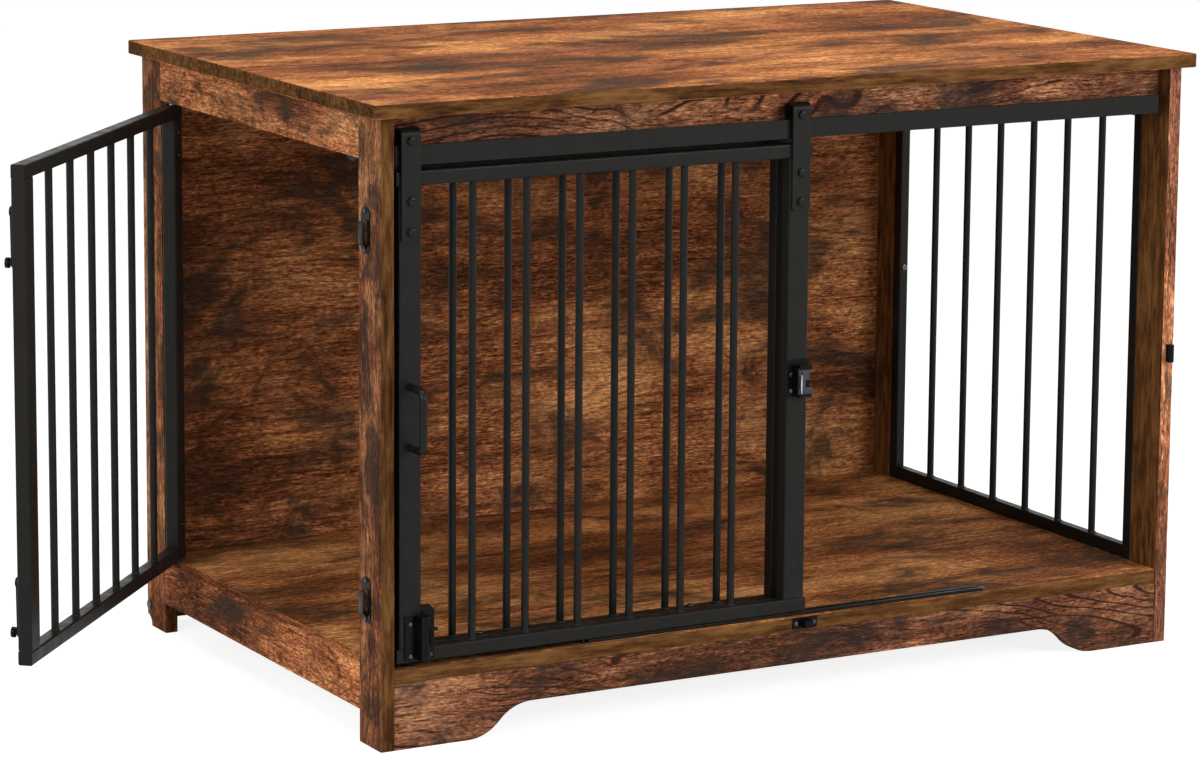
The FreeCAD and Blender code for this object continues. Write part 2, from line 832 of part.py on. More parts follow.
def make_bolt_body():
    """Base plate and barrel of the bolt, with a slot for the knob."""
    back = door_front
    face = door_front - bolt_plate_thickness
    left = block(bolt_x - bolt_plate_left, bolt_x, face, back,
                 bolt_plate_bottom, bolt_plate_bottom + bolt_plate_left_height)
    right_edge = bolt_x + bolt_plate_right
    right_top = bolt_plate_bottom + bolt_plate_right_height
    right = plate([V(bolt_x, face, bolt_plate_bottom),
                   V(right_edge, face, bolt_plate_bottom),
                   V(right_edge, face, right_top - bolt_plate_chamfer),
                   V(right_edge - bolt_plate_chamfer, face, right_top),
                   V(bolt_x, face, right_top)], V(0, bolt_plate_thickness, 0))
    web = block(bolt_x - bolt_barrel_radius, bolt_x + bolt_barrel_radius, bolt_y, face,
                bolt_barrel_z, bolt_barrel_z + bolt_barrel_length)
    barrel = rod(V(bolt_x, bolt_y, bolt_barrel_z), Z_AXIS, bolt_barrel_length, 2 * bolt_barrel_radius)
    body = left.fuse([right, web, barrel]).removeSplitter()
    bore = rod(V(bolt_x, bolt_y, bolt_barrel_z - 1), Z_AXIS, bolt_barrel_length + 2,
               bolt_pin_diameter + 2 * bolt_pin_clearance)
    width = bolt_knob_diameter + 2 * bolt_slot_clearance
    slot_low = bolt_knob_height - bolt_travel - width / 2
    slot = block(-width / 2, width / 2, -bolt_barrel_radius * 2, 0,
                 slot_low, bolt_knob_height + width / 2)
    slot.rotate(V(0, 0, 0), Z_AXIS, bolt_knob_angle)
    slot.translate(V(bolt_x, bolt_y, 0))
    return drilled(body, [bore, slot] + [small_hole(*site) for site in slide_screw_sites()])


def make_bolt_pin():
    pin = rod(V(bolt_x, bolt_y, bolt_pin_foot), Z_AXIS, bolt_pin_length, bolt_pin_diameter)
    knob = rod(V(bolt_x, bolt_y, bolt_knob_height), knob_way(), bolt_knob_length, bolt_knob_diameter)
    return pin.fuse(knob).removeSplitter()


def latch_faces():
    back = door_front - latch_slide_reach
    return back, back - latch_slide_thickness


def make_latch_base():
    """Plate, spacer and two lipped channels that hold the latch slide."""
    left = door_right - slide_stile_width
    face = door_front - latch_plate_thickness
    slide_back, slide_front = latch_faces()
    gap = latch_running_gap
    base = block(left, left + latch_plate_width, face, door_front,
                 latch_plate_bottom, latch_plate_top)
    x0 = left + latch_housing_left
    x1 = x0 + latch_housing_width
    spacer = block(x0, x1, slide_back + gap, face, latch_plate_bottom,
                   latch_slide_top + gap + latch_lip_width)
    lip_front = slide_front - gap - latch_lip_thickness
    upper = block(x0, x1, lip_front, slide_back + gap, latch_slide_top + gap,
                  latch_slide_top + gap + latch_lip_width)
    lower = block(x0, x1, lip_front, slide_back + gap, latch_plate_bottom, latch_slide_bottom - gap)
    cover_top = block(x0, x1, lip_front, slide_front - gap, latch_slide_top - latch_lip_cover,
                      latch_slide_top + gap + latch_lip_width)
    cover_low = block(x0, x1, lip_front, slide_front - gap, latch_plate_bottom,
                      latch_slide_bottom + latch_lip_cover)
    body = base.fuse([spacer, upper, lower, cover_top, cover_low]).removeSplitter()
    return drilled(body, [small_hole(*site) for site in slide_screw_sites()])


def make_latch_slide():
    """Grip plate above, tongue below, and a finger tab that stands clear of the lips."""
    back, front = latch_faces()
    x0 = door_right - latch_slide_left
    x1 = x0 + latch_slide_length
    tongue_x = x0 + latch_tongue_length
    points = [V(x0, front, latch_slide_bottom), V(tongue_x, front, latch_slide_bottom),
              V(tongue_x, front, latch_slide_bottom + latch_tongue_height),
              V(x0 + latch_stem_width, front, latch_slide_bottom + latch_tongue_height),
              V(x0 + latch_stem_width, front, latch_slide_top - latch_grip_height),
              V(x1, front, latch_slide_top - latch_grip_height),
              V(x1, front, latch_slide_top), V(x0, front, latch_slide_top)]
    body = plate(points, V(0, latch_slide_thickness, 0))
    middle = (latch_slide_bottom + latch_slide_top) / 2
    reach = latch_tab_stem + latch_running_gap
    stem = block(x0, x0 + latch_tab_thickness, front - reach, front,
                 middle - latch_tab_stem_height / 2, middle + latch_tab_stem_height / 2)
    tab = block(x0, x0 + latch_tab_thickness, front - reach - latch_tab_thickness, front - reach,
                middle - latch_tab_height / 2, middle + latch_tab_height / 2)
    return body.fuse([stem, tab]).removeSplitter()


def make_guide_block():
    half = track_slot / 2 - guide_side_clearance
    return block(guide_x - guide_length / 2, guide_x + guide_length / 2,
                 door_mid_y - half, door_mid_y + half,
                 deck_z + track_floor + guide_floor_clearance, door_bottom)


# ---- keepers on the cabinet ----
def bolt_keeper_screw_sites():
    mid_z = deck_z - bolt_keeper_drop - bolt_keeper_height / 2
    face = panel_front - bolt_keeper_thickness
    reach = bolt_keeper_width / 2 - bolt_keeper_screw_inset
    return [(V(bolt_keeper_x + side * reach, face, mid_z), Y_AXIS) for side in (-1, 1)]


def make_bolt_keeper():
    """A plate on the floor board's edge with a loop for the bolt."""
    top = deck_z - bolt_keeper_drop
    mid_z = top - bolt_keeper_height / 2
    face = panel_front - bolt_keeper_thickness
    base = block(bolt_keeper_x - bolt_keeper_width / 2, bolt_keeper_x + bolt_keeper_width / 2,
                 face, panel_front, top - bolt_keeper_height, top)
    inner = bolt_pin_diameter / 2 + bolt_keeper_loop_gap
    outer = inner + bolt_keeper_thickness
    half = bolt_keeper_loop_height / 2
    loop = block(bolt_keeper_x - outer, bolt_keeper_x + outer, bolt_y - outer, face,
                 mid_z - half, mid_z + half)
    hole = block(bolt_keeper_x - inner, bolt_keeper_x + inner, bolt_y - inner, face,
                 mid_z - half - 1, mid_z + half + 1)
    keeper = base.fuse(loop.cut(hole)).removeSplitter()
    return drilled(keeper, [small_hole(*site) for site in bolt_keeper_screw_sites()])


def make_latch_keeper():
    """A short box on the right post that the latch tongue enters."""
    middle = latch_slide_bottom + latch_tongue_height / 2
    half = latch_keeper_height / 2
    right = body_x - latch_keeper_inset
    left = right - latch_keeper_width
    shell = block(left, right, -body_y - latch_keeper_depth, -body_y, middle - half, middle + half)
    wall = latch_keeper_wall
    window = block(left - 1, right + 1, -body_y - latch_keeper_depth + wall, -body_y - wall / 2,
                   middle - half + 2 * wall, middle + half - 2 * wall)
    return shell.cut(window)


def lever_heights():
    return (lever_upper_height, lever_lower_height)


def lever_keeper_mid_y():
    return -post_inner_y - lever_keeper_post_inset - lever_keeper_width / 2


def lever_keeper_screw_sites():
    face = -body_x - lever_keeper_thickness
    sites = []
    for pivot_z in lever_heights():
        top = pivot_z + lever_keeper_above
        for z in (top - lever_keeper_screw_inset, top - lever_keeper_height + lever_keeper_screw_inset):
            sites.append((V(face, lever_keeper_mid_y(), z), X_AXIS))
    return sites


def make_lever_keepers():
    """Plates with a hook that is open at the top."""
    keepers = []
    mid_y = lever_keeper_mid_y()
    face = -body_x - lever_keeper_thickness
    hook_inner = lever_front - lever_hook_gap
    hook_outer = hook_inner - lever_keeper_thickness
    hook_y0 = mid_y - lever_hook_width / 2 + lever_hook_offset
    for pivot_z in lever_heights():
        top = pivot_z + lever_keeper_above
        base = block(face, -body_x, mid_y - lever_keeper_width / 2, mid_y + lever_keeper_width / 2,
                     top - lever_keeper_height, top)
        corners = [edge for edge in base.Edges if edge.Length < 2 * lever_keeper_thickness]
        base = base.makeFillet(lever_keeper_corner, corners)
        foot = pivot_z - lever_hook_foot
        bend = pivot_z - lever_hook_bottom
        tip = pivot_z - lever_hook_top
        hook = plate([V(face, hook_y0, foot), V(hook_outer, hook_y0, bend),
                      V(hook_outer, hook_y0, tip), V(hook_inner, hook_y0, tip),
                      V(hook_inner, hook_y0, bend + lever_hook_inner_slope),
                      V(face, hook_y0, foot + lever_hook_slope)],
                     V(0, lever_hook_width, 0))
        window = block(face - 1, -body_x + 1, hook_y0, hook_y0 + lever_hook_width,
                       foot + lever_hook_slope, tip)
        keepers.append(base.cut(window).fuse(hook).removeSplitter())
    holes = [small_hole(*site) for site in lever_keeper_screw_sites()]
    return group([drilled(keeper, holes) for keeper in keepers])


def stop_screw_sites():
    centre = -post_inner_y + stop_post_inset
    z = side_head_z + stop_lap / 2
    face = -inner_x + stop_thickness
    return [(V(face, centre + side * stop_top_width / 4, z), V(-1, 0, 0)) for side in (-1, 1)]


def make_door_stop():
    """A small plate under the left head rail that stops the swinging door."""
    centre = -post_inner_y + stop_post_inset
    half_top = stop_top_width / 2
    half_low = stop_bottom_width / 2
    top = side_head_z + stop_lap
    low = side_head_z - stop_drop
    outline = [(-half_top, top), (half_top, top), (half_top, side_head_z),
               (half_low, low), (-half_low, low), (-half_top, side_head_z)]
    points = [V(-inner_x, centre + y, z) for y, z in outline]
    stop = plate(points, V(stop_thickness, 0, 0))
    return drilled(stop, [small_hole(*site) for site in stop_screw_sites()])


def hardware_screw_sites():
    return (track_screw_sites() + bolt_keeper_screw_sites()
            + lever_keeper_screw_sites() + stop_screw_sites())


# ---- swinging door, drawn closed and then turned to its resting angle ----
def opened(shape):
    turned_shape = shape.copy()
    turned_shape.rotate(V(swing_pivot_x, swing_pivot_y, 0), Z_AXIS, -swing_rest_angle)
    return turned_shape


def hinge_pin_holes():
    diameter = hinge_pin_diameter + 2 * fastener_clearance
    top_start = V(swing_pivot_x, swing_pivot_y, swing_top - hinge_pin_root - fastener_clearance)
    low_start = V(swing_pivot_x, swing_pivot_y, swing_bottom - 1)
    return [rod(top_start, Z_AXIS, hinge_pin_root + 2, diameter),
            rod(low_start, Z_AXIS, hinge_pin_root + 1 + fastener_clearance, diameter)]


def make_hinge_pins():
    top = rod(V(swing_pivot_x, swing_pivot_y, swing_top - hinge_pin_root), Z_AXIS,
              hinge_pin_root + swing_door_top_gap + hinge_pin_bite, hinge_pin_diameter)
    low_start = deck_z - hinge_pin_bite
    low = rod(V(swing_pivot_x, swing_pivot_y, low_start), Z_AXIS,
              swing_bottom + hinge_pin_root - low_start, hinge_pin_diameter)
    collar_low = deck_z + hinge_bush_flange + hinge_collar_gap
    collar = rod(V(swing_pivot_x, swing_pivot_y, collar_low), Z_AXIS,
                 swing_bottom - collar_low, hinge_collar_diameter)
    return group([top, low.fuse(collar).removeSplitter()])


def make_hinge_bushes():
    """Flanged bushes in the left head and foot rails that the hinge pins turn in."""
    bore = hinge_pin_diameter + 2 * hinge_pin_clearance
    bushes = []
    for seat, way in ((side_head_z, 1), (deck_z, -1)):
        centre = V(swing_pivot_x, swing_pivot_y, seat)
        sleeve = rod(centre, Z_AXIS * way, hinge_bush_depth, hinge_bush_diameter)
        flange = rod(centre, Z_AXIS * -way, hinge_bush_flange, hinge_bush_flange_diameter)
        start = V(swing_pivot_x, swing_pivot_y, seat - way * (hinge_bush_flange + 1))
        hole = rod(start, Z_AXIS * way, hinge_bush_depth + hinge_bush_flange + 2, bore)
        bushes.append(sleeve.fuse(flange).removeSplitter().cut(hole))
    return group(bushes)


def hinge_bush_holes():
    diameter = hinge_bush_diameter + 2 * fastener_clearance
    depth = hinge_bush_depth + dowel_end_clearance
    return [rod(V(swing_pivot_x, swing_pivot_y, seat), Z_AXIS * way, depth, diameter)
            for seat, way in ((side_head_z, 1), (deck_z, -1))]


def swing_screw_sites():
    """Screws on the hinge stile's inner face and on the lever plates."""
    stile_y = swing_half - swing_stile_width / 2
    sites = [(V(swing_inner, stile_y, swing_top - swing_screw_top_first), V(-1, 0, 0)),
             (V(swing_inner, stile_y, swing_top - swing_screw_top_second), V(-1, 0, 0)),
             (V(swing_inner, stile_y, swing_bottom + swing_screw_bottom), V(-1, 0, 0))]
    for pivot_z in lever_heights():
        screw_z = pivot_z + lever_plate_above - lever_plate_screw_inset
        sites.append((V(swing_outer - lever_plate_thickness, lever_y, screw_z), X_AXIS))
    return sites


def make_swing_door():
    x0, x1 = swing_outer, swing_inner
    low = swing_bottom + swing_rail_tube
    high = swing_top - swing_rail_tube
    inside = swing_half - swing_stile_width
    holes = group([small_hole(*site) for site in swing_screw_sites()])
    pin_holes = group(hinge_pin_holes())
    bars = [rod(V(swing_pivot_x, y, low), Z_AXIS, high - low, bar_diameter)
            for y in spaced(-inside, inside, swing_bar_count)]
    return {
        "swing_door_stile_hinge": opened(tube(x0, x1, inside, swing_half, low, high).cut(holes)),
        "swing_door_stile_free": opened(tube(x0, x1, -swing_half, -inside, low, high).cut(holes)),
        "swing_door_rail_top": opened(tube(x0, x1, -swing_half, swing_half, high, swing_top).cut(pin_holes)),
        "swing_door_rail_bottom": opened(tube(x0, x1, -swing_half, swing_half,
                                              swing_bottom, low).cut(pin_holes)),
        "swing_door_bars": opened(group(bars)),
    }


def make_lever_plates():
    """Plates with a headed stud that each lever turns on."""
    plates = []
    for pivot_z in lever_heights():
        base = block(swing_outer - lever_plate_thickness, swing_outer,
                     lever_y - lever_plate_width / 2, lever_y + lever_plate_width / 2,
                     pivot_z - lever_plate_below, pivot_z + lever_plate_above)
        head_start = lever_front - lever_gap
        stud = rod(V(head_start, lever_y, pivot_z), X_AXIS,
                   swing_outer - lever_plate_thickness - head_start, lever_rivet_diameter)
        head = rod(V(head_start - lever_rivet_head_height, lever_y, pivot_z), X_AXIS,
                   lever_rivet_head_height, lever_rivet_head_diameter)
        plates.append(base.fuse([stud, head]).removeSplitter())
    holes = [small_hole(*site) for site in swing_screw_sites()]
    return group([drilled(item, holes) for item in plates])


def make_lever(pivot_z):
    """A drop lever: hub, tapered arm and a mushroom knob."""
    tip_z = pivot_z - lever_length
    hub = rod(V(lever_front, lever_y, pivot_z), X_AXIS, lever_thickness, 2 * lever_hub_radius)
    tip = rod(V(lever_front, lever_y, tip_z), X_AXIS, lever_thickness, 2 * lever_tip_radius)
    # the arm's sides run square to the common tangent of hub and tip
    lean = math.asin((lever_hub_radius - lever_tip_radius) / lever_length)
    up = math.sin(lean)
    out = math.cos(lean)
    arm = plate([V(lever_front, lever_y + side * radius * out, z - radius * up)
                 for side, radius, z in ((-1, lever_hub_radius, pivot_z), (-1, lever_tip_radius, tip_z),
                                         (1, lever_tip_radius, tip_z), (1, lever_hub_radius, pivot_z))],
                V(lever_thickness, 0, 0))
    stem = rod(V(lever_front - lever_knob_height, lever_y, tip_z), X_AXIS,
               lever_knob_height, lever_knob_stem_diameter)
    cap = rod(V(lever_front - lever_knob_height, lever_y, tip_z), X_AXIS,
              lever_knob_cap_height, lever_knob_diameter)
    bore = rod(V(lever_front - 1, lever_y, pivot_z), X_AXIS, lever_thickness + 2,
               lever_rivet_diameter + 2 * hinge_pin_clearance)
    return opened(hub.fuse([tip, arm, stem, cap]).removeSplitter().cut(bore))


def build():
    pieces = make_boards()
    rail_holes = group(rail_screw_holes())
    grille_holes = grille_screw_holes()
    hardware_holes = group([small_hole(*site) for site in hardware_screw_sites()])
    bush_holes = group(hinge_bush_holes())
    cuts = {
        "front_apron": (rail_holes, grille_holes),
        "bottom_panel": (grille_holes, hardware_holes),
        "post_front_left": (hardware_holes,),
        "post_front_right": (grille_holes,),
        "post_back_right": (grille_holes,),
        "side_rail_left_top": (bush_holes, hardware_holes),
        "side_rail_left_bottom": (bush_holes,),
    }
    for name, holes in cuts.items():
        pieces[name] = drilled(pieces[name], holes)
    pieces["frame_dowels"] = make_dowels()
    pieces["panel_bolts"] = group([
        fastener(seat, into, panel_bolt_diameter, panel_bolt_length,
                 panel_bolt_head_diameter, panel_bolt_head_height)
        for seat, into in panel_bolt_sites()])
    pieces["slide_rail"] = make_slide_rail()
    pieces["rail_standoffs"] = make_standoffs()
    pieces["rail_screws"] = make_rail_screws()
    pieces["guide_track"] = make_guide_track()
    pieces.update(make_fixed_grille())
    pieces.update(make_right_grille())
    pieces["grille_screws"] = make_grille_screws()
    pieces.update(make_slide_door())
    for side, x in (("left", left_stile_x), ("right", right_stile_x)):
        pieces["hanger_strap_" + side] = make_strap(x)
        pieces["hanger_roller_" + side] = make_roller(x)
    pieces["roller_axles"] = group([make_axle(x) for x in (left_stile_x, right_stile_x)])
    pieces["strap_bolts"] = make_strap_bolts()
    pieces["pull_handle"] = make_handle()
    pieces["bolt_body"] = make_bolt_body()
    pieces["bolt_pin"] = make_bolt_pin()
    pieces["latch_base"] = make_latch_base()
    pieces["latch_slide"] = make_latch_slide()
    pieces["guide_block"] = make_guide_block()
    pieces["slide_door_screws"] = group([small_screw(*site) for site in slide_screw_sites()])
    pieces["bolt_keeper"] = make_bolt_keeper()
    pieces["latch_keeper"] = make_latch_keeper()
    pieces["lever_keepers"] = make_lever_keepers()
    pieces["door_stop"] = make_door_stop()
    pieces["hardware_screws"] = group([small_screw(*site) for site in hardware_screw_sites()])
    pieces.update(make_swing_door())
    pieces["hinge_pins"] = opened(make_hinge_pins())
    pieces["hinge_bushes"] = make_hinge_bushes()
    pieces["lever_plates"] = opened(make_lever_plates())
    pieces["swing_door_screws"] = opened(group([small_screw(*site) for site in swing_screw_sites()]))
    pieces["drop_lever_upper"] = make_lever(lever_upper_height)
    pieces["drop_lever_lower"] = make_lever(lever_lower_height)
    return pieces


os.makedirs("parts", exist_ok=True)
all_pieces = build()
for node, shape in all_pieces.items():
    if not shape.isValid():
        print("not valid:", node)
    shape.exportStep("parts/" + node + ".step")
print("nodes:", len(all_pieces))
print("slide travel:", round(slide_travel, 3), "rollers per metre:", round(1000 / roller_tread_radius, 3))
lever_pivot = opened(Part.Vertex(V(lever_back, lever_y, 0))).Point
lever_axis = FreeCAD.Rotation(Z_AXIS, -swing_rest_angle).multVec(V(-1, 0, 0))
print("swing pivot:", round(swing_pivot_x, 3), round(swing_pivot_y, 3))
print("lever pivot:", round(lever_pivot.x, 3), round(lever_pivot.y, 3))
print("lever axis:", round(lever_axis.x, 6), round(lever_axis.y, 6))
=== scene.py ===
import bmesh
import bpy
import json
import math
import numpy as np
from mathutils import Matrix, Vector

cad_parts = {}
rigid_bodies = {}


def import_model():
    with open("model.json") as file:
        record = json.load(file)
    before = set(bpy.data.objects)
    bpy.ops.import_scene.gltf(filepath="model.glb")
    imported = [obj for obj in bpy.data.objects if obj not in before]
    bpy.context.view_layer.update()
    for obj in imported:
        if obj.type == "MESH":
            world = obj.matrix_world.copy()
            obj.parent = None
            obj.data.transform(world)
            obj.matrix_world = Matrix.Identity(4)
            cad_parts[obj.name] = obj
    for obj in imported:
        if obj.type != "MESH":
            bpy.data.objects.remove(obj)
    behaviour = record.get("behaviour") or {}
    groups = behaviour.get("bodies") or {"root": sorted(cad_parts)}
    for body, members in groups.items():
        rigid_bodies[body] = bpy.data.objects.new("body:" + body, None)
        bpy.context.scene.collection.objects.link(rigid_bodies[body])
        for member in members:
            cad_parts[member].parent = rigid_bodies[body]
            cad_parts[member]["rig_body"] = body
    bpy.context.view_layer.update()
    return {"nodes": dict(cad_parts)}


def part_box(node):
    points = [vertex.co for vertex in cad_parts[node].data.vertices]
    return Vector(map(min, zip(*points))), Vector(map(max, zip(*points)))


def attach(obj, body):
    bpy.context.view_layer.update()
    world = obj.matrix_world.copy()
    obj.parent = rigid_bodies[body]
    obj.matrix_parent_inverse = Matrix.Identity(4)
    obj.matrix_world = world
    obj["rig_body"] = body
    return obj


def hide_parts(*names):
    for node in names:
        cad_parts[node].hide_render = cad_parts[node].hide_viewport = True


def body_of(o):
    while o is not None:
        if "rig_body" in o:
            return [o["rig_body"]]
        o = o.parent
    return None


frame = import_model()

# A dog crate built as an end table: brown rustic boards, black powder-coated steel.
# Metres, in the model's own frame: the front faces -Y and +X runs to the right.


def newMaterial(name):
    mat = bpy.data.materials.new(name)
    mat.use_nodes = True
    mat.node_tree.nodes.clear()
    return mat


def addNode(tree, kind, **settings):
    node = tree.nodes.new(kind)
    for key, value in settings.items():
        setattr(node, key, value)
    return node


def setInputs(node, values):
    for key, value in values.items():
        node.inputs[key].default_value = value


def wire(tree, *pairs):
    for a, b in pairs:
        tree.links.new(a, b)


def rampNode(tree, source, stops):
    # a colour ramp: each stop is a place and a colour
    node = addNode(tree, "ShaderNodeValToRGB")
    ramp = node.color_ramp
    while len(ramp.elements) > 1:
        ramp.elements.remove(ramp.elements[0])
    ramp.elements[0].position = stops[0][0]
    ramp.elements[0].color = (*stops[0][1], 1)
    for place, colour in stops[1:]:
        element = ramp.elements.new(place)
        element.color = (*colour, 1)
    wire(tree, (source, node.inputs["Fac"]))
    return node.outputs["Color"]


def mixNode(tree, mode, factor, a, b):
    # factor, a and b are sockets or plain values
    node = addNode(tree, "ShaderNodeMix", data_type="RGBA", blend_type=mode)
    for key, value in (("Factor", factor), ("A", a), ("B", b)):
        if isinstance(value, bpy.types.NodeSocket):
            wire(tree, (value, node.inputs[key]))
        elif key == "Factor":
            node.inputs[key].default_value = value
        else:
            node.inputs[key].default_value = (*value, 1)
    return node.outputs["Result"]


def mathNode(tree, op, a, b=0.0, c=0.0):
    node = addNode(tree, "ShaderNodeMath", operation=op)
    for i, value in enumerate((a, b, c)):
        if isinstance(value, bpy.types.NodeSocket):
            wire(tree, (value, node.inputs[i]))
        else:
            node.inputs[i].default_value = value
    return node.outputs[0]


def rangeNode(tree, source, low, high, start, end):
    # a smooth step from start to end as the source goes from low to high
    node = addNode(tree, "ShaderNodeMapRange", interpolation_type="SMOOTHSTEP")
    setInputs(node, {"From Min": low, "From Max": high, "To Min": start, "To Max": end})
    wire(tree, (source, node.inputs["Value"]))
    return node.outputs["Result"]


def noiseNode(tree, vector, scale, along=1.0, detail=2.0, rough=0.5, distort=0.0):
    # noise drawn out along the vector's X by "along"
    mapping = addNode(tree, "ShaderNodeMapping")
    setInputs(mapping, {"Scale": (1.0 / along, 1.0, 1.0)})
    noise = addNode(tree, "ShaderNodeTexNoise")
    setInputs(noise, {"Scale": scale, "Detail": detail, "Roughness": rough,
                      "Distortion": distort})
    wire(tree, (vector, mapping.inputs["Vector"]), (mapping.outputs[0], noise.inputs["Vector"]))
    return noise.outputs["Fac"]


def newGroup(name, inputs, outputs):
    # a node group with named inputs and outputs
    group = bpy.data.node_groups.new(name, "ShaderNodeTree")
    for title, kind, default in inputs:
        socket = group.interface.new_socket(name=title, in_out="INPUT", socket_type=kind)
        if default is not None:
            socket.default_value = default
    for title, kind in outputs:
        group.interface.new_socket(name=title, in_out="OUTPUT", socket_type=kind)
    return group, group.nodes.new("NodeGroupInput"), group.nodes.new("NodeGroupOutput")


# the boards' print: a rustic plank with slightly bent grain, burnt patches and cracks; each noise
# has a scale, its length along the grain, detail, roughness and distortion, and each step the
# source's two limits and the values there
plankLook = {
    "plum": (0.150, 0.060, 0.045),
    "burnt": (0.032, 0.023, 0.018),
    "crack": (0.040, 0.014, 0.008),
    "tone": [(0.37, (0.075, 0.030, 0.015)), (0.43, (0.150, 0.053, 0.024)),
             (0.49, (0.275, 0.098, 0.044)), (0.55, (0.420, 0.178, 0.078)),
             (0.63, (0.600, 0.290, 0.130))],
    "fleck": [(0.30, (0.20, 0.17, 0.15)), (0.45, (0.86, 0.85, 0.83)),
              (0.56, (1.15, 1.13, 1.08)), (0.70, (2.1, 1.95, 1.65))],
    "thread": [(0.32, (0.36, 0.32, 0.29)), (0.49, (1, 1, 1)), (0.66, (1.4, 1.36, 1.28))],
    "noise": {
        "broad": (8.0, 2.6, 4.0, 0.62, 0.3),
        "streak": (190.0, 14.0, 3.0, 0.66, 0.0),
        "grit": (540.0, 4.0, 3.0, 0.7, 0.0),
        "hair": (700.0, 18.0, 3.0, 0.65, 0.0),
        "smoke": (12.0, 1.7, 9.0, 0.68, 0.5),
        "plum": (7.0, 2.4, 5.0, 0.65, 0.4),
        "field": (6.0, 7.5, 1.5, 0.45, 0.0),
        "gate": (10.0, 2.0, 4.0, 0.65, 0.0),
        "dash": (330.0, 8.0, 2.0, 0.6, 0.0),
    },
    "step": {
        "plum": (0.54, 0.64, 0.0, 1.0),
        "line": (0.66, 0.96, 0.0, 0.95),
        "gate": (0.44, 0.54, 0.0, 1.0),
        "dash": (0.60, 0.68, 0.0, 0.80),
        "dashFade": (0.42, 0.58, 1.0, 0.35),
        "burn": (0.585, 0.645, 0.0, 0.93),
        "haze": (0.52, 0.61, 0.0, 0.40),
        "rough": (0.3, 0.7, 0.78, 0.60),
    },
    "seedStep": 3.17,
    "wander": {"Scale": 5.0, "Detail": 2.5, "Roughness": 0.5},
    "grainBend": 0.008,
    "lineBend": 0.04,
    "patchBend": 0.07,
    "broadShare": 0.68,
    "streakShare": 0.32,
    "gritShare": 0.24,
    "fleckShare": 0.95,
    "threadShare": 0.9,
    "lineCount": 400.0,
    "lineGrit": 0.9,
    "edgeGrit": 0.22,
    "burnReach": 0.1,
    "grainInBurn": 0.16,
    "hairHeight": 0.5,
    "crackHeight": -0.9,
}


